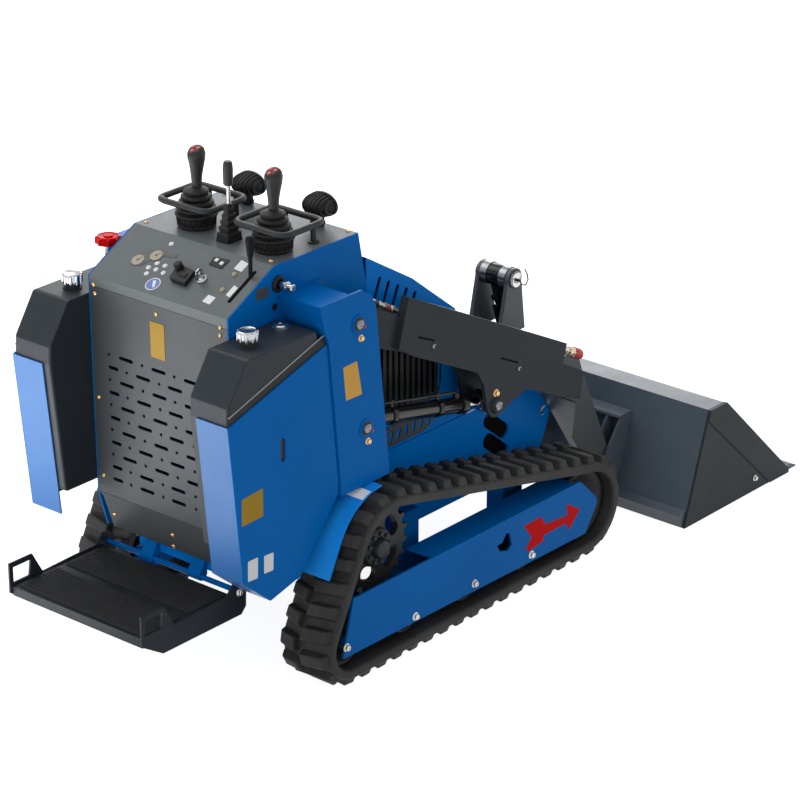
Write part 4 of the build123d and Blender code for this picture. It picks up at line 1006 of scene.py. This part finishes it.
# Lift arms and their cross member: box beams welded from plate and painted dark grey.
# Chromed pin heads and plated bolts close the joints, and hose couplers stand on top.
arm_grey = finish_of("arm_paint", (0.026, 0.032, 0.036), 0.36, cloud=0.06, spec=0.08)
for name in ("lift_arm_right", "lift_arm_left"):
    dress(name, arm_grey, 1.6)
beam_grey = finish_of("beam_paint", (0.085, 0.093, 0.098), 0.36, cloud=0.06, spec=0.25)
dress("arm_cross_member", beam_grey, 1.6)
ARM_FACE = 350.0
CLEVIS_X, CLEVIS_Z = 447, 652
for side, hand in SIDES:
    out = Vector((0, side, 0))
    shape = bmesh.new()
    ear = (5, side * ARM_FACE, 513)
    turn(shape, [(0, 0), (22, 0), (22, 2), (20.5, 3), (18, 8.6), (0, 8.6)], ear, out, 36, 3)
    turn(shape, [(0, 8.6), (13, 8.6), (12, 11.4), (8.6, 13.6), (4.4, 14.2), (3, 12), (0, 12)],
         ear, out, 32, 0)
    turn(shape, [(0, 0), (6, 0), (6, 2), (3.4, 4), (3.4, 7), (0, 8)],
         (16, side * (ARM_FACE + 3), 506), out, 12, 2)
    bolt(shape, (3, side * ARM_FACE, 547), out, 10, 1)
    for x, z in ((-242, 750), (97, 584)):
        dome_screw(shape, (x, side * ARM_FACE, z), out, 7, 0)
    put("arm_pin_heads_" + hand, shape, "arms", [pin_chrome, brass, grease_red, arm_grey])
    shape = bmesh.new()
    # The clip slits are thin black strips on the arm's face: the shade in the slits, painted.
    for x1, z1, x2, z2 in ((-303, 793, -240, 764), (20, 637, 92, 602)):
        lean = atan2(z2 - z1, x2 - x1) * 180 / pi
        slit = slot((x1 + x2) / 2, (z1 + z2) / 2, hypot(x2 - x1, z2 - z1), 5, lean)
        side_plate(shape, [slit], side, ARM_FACE, 0.6, 0.15)
    put("arm_clip_slits_" + hand, shape, "arms", [slot_shade_black])
    shape = bmesh.new()
    way = Vector((74, 0, -37)).normalized()
    root = Vector((283, side * 300, 577)) + way * 30
    turn(shape, [(0, 0), (9, 0), (9, 30), (13, 30), (13, 46), (11, 48), (11, 74), (14, 76), (14, 88),
                 (11, 90), (0, 90)], root, way, 6, 0)
    turn(shape, [(0, 86), (14.5, 86), (15, 90), (15, 112), (13, 118), (0, 120)], root, way, 28, 1)
    stub(shape, 12.4, 60, 72, root, way, 24, 2)
    put("hose_coupler_" + hand, shape, "arms", [zinc, grease_red, brass])
    shape = bmesh.new()
    slope = Vector((174, 0, -96)).normalized()
    above = Vector((96, 0, 174)).normalized()
    for dy, start in ((-16, 0), (12, 18)):
        root = Vector((-430, side * (300 + dy), 902)) + slope * start + above * 9
        turn(shape, [(0, 0), (7, 0), (7, 18), (11, 18), (11, 34), (8, 35), (8, 52), (11, 53), (11, 66),
                     (7, 67), (7, 84), (0, 84)], root, slope, 6, 0)
        stub(shape, 9, 36, 42, root, slope, 20, 1)
        stub(shape, 6, -22, 4, root, slope, 16, 2)
    put("arm_hose_fittings_" + hand, shape, "arms", [zinc, grease_red, black_plastic])
shape = bmesh.new()
stub(shape, 20, -64, 64, (CLEVIS_X, 0, CLEVIS_Z), RIGHTWARD, 40)
for side in (-1, 1):
    out = Vector((0, side, 0))
    turn(shape, [(0, 0), (24, 0), (24, 4), (21, 6), (14, 6.5), (13, 4), (0, 4)],
         (CLEVIS_X, side * 56.2, CLEVIS_Z), out, 36, 1)
    turn(shape, [(29.2, 0), (31, 0), (31, 22), (29.2, 22), (29.2, 0)],
         (CLEVIS_X, side * 20.5, CLEVIS_Z), out, 36, 1)
clip = [(CLEVIS_X, -72, CLEVIS_Z), (452, -76, 640), (465, -78, 636), (478, -76, 646), (480, -72, 660),
        (474, -68, 676)]
bar(shape, clip, 1.8, skin=2, resolution=2)
stub(shape, 4, 0, 14, (CLEVIS_X, -60, CLEVIS_Z), RIGHTWARD, 12, 2)
worn_steel = finish_of("worn_steel", (0.20, 0.21, 0.22), 0.30, cloud=0.25, metal=1.0, dents=0.1)
put("clevis_pin", shape, "arms", [zinc, worn_steel, cast_black], ["tilt_pin"])

# Hydraulic cylinders: glossy black steel barrels, each with ports and a gland nut screwed on,
# and plated rods. A steel pipe is clamped along each barrel.
gloss_black = finish_of("cylinder_black", (0.010, 0.010, 0.011), 0.18, cloud=0.15, coat=0.1,
                        spec=0.2, dents=0.02)
for name in ("lift_barrels", "tilt_barrel"):
    dress(name, gloss_black, 1.0)
for name in ("lift_rods", "tilt_rod"):
    dress(name, chrome, 0.8)
LIFT_WAY = Vector((514, 0, -110)).normalized()
LIFT_ABOVE = Vector((110, 0, 514)).normalized()
for side, hand in SIDES:
    foot = Vector((-509, side * 306, 623))
    shape = bmesh.new()
    turn(shape, [(12.6, 424), (24, 424), (25, 426), (25, 444), (22, 447), (12.6, 447)], foot, LIFT_WAY, 36)
    turn(shape, [(12.6, 424), (12.6, 447)], foot, LIFT_WAY, 36)
    for along in (64, 412):
        spot = foot + LIFT_WAY * along
        stub(shape, 8, 18, 32, spot, LIFT_ABOVE, 16)
    put("lift_glands_" + hand, shape, "lift_barrels", [gloss_black])
    shape = bmesh.new()
    path = [foot + LIFT_WAY * a + LIFT_ABOVE * b for a, b in
            ((64, 26), (66, 31), (72, 34), (120, 34), (300, 34), (404, 34), (410, 31), (412, 26))]
    bar(shape, path, 4)
    for along in (150, 330):
        turn(shape, [(20.8, along), (23, along), (23, along + 14), (20.8, along + 14), (20.8, along)], foot,
             LIFT_WAY, 32)
        bar(shape, [foot + LIFT_WAY * (along + 7) + LIFT_ABOVE * b for b in (20, 40)], 5)
    put("lift_pipe_" + hand, shape, "lift_barrels", [gloss_black])
TILT_WAY = Vector((153, 0, -472)).normalized()
TILT_BACK = Vector((-472, 0, -153)).normalized()
shape = bmesh.new()
foot = Vector((CLEVIS_X, 0, CLEVIS_Z))
turn(shape, [(14.6, 336), (29, 336), (30, 338), (30, 352), (27, 355), (14.6, 355)], foot, TILT_WAY, 36)
for along in (52, 322):
    stub(shape, 9, 22, 38, foot + TILT_WAY * along, TILT_BACK, 16)
bar(shape, [foot + TILT_WAY * a + TILT_BACK * b for a, b in
            ((322, 34), (320, 40), (312, 42), (200, 42), (80, 42), (74, 42))], 5)
put("tilt_gland_pipe", shape, "tilt_barrel", [gloss_black])

# Bucket: rolled back and floor, side plates with a doubling plate along the front edge, a
# bolted cutting edge, and the quick-attach frame that the arms hold it by.
# The bucket's one grey paint is split in two: a lighter, glossier copy on the back, floor, frame and edge is
# painted light, and a darker copy on the sides and their doubling plates is painted shade.
light_painted_bucket = finish_of("bucket_shell_painted_light", (0.074, 0.094, 0.116), 0.36, cloud=0.08, spec=0.35, dust=0.04)
shade_painted_side = finish_of("bucket_sides_painted_shade", (0.030, 0.037, 0.042), 0.38, cloud=0.08, spec=0.08, dust=0.02)
for name in ("quick_attach", "bucket_shell", "cutting_edge"):
    dress(name, light_painted_bucket, 1.4)
dress("bucket_sides", shade_painted_side, 1.4)
BUCKET_FACE = 518.0
for side, hand in SIDES:
    shape = bmesh.new()
    doubling = [(703, 286), (713, 313), (789, 313), (1103, 12), (1103, 0.5), (1012, 0.5)]
    side_plate(shape, [doubling], side, BUCKET_FACE, 3, 0.8)
    put("bucket_doubling_" + hand, shape, "bucket", [shade_painted_side])
    shape = bmesh.new()
    bolt(shape, (940, side * BUCKET_FACE, 38), (0, side, 0), 9, 0)
    turn(shape, [(0, 0), (22, 0), (22, 3), (19, 5), (0, 5)], (585, side * 280, 110), (0, side, 0), 28, 0)
    put("bucket_bolts_" + hand, shape, "bucket", [zinc])
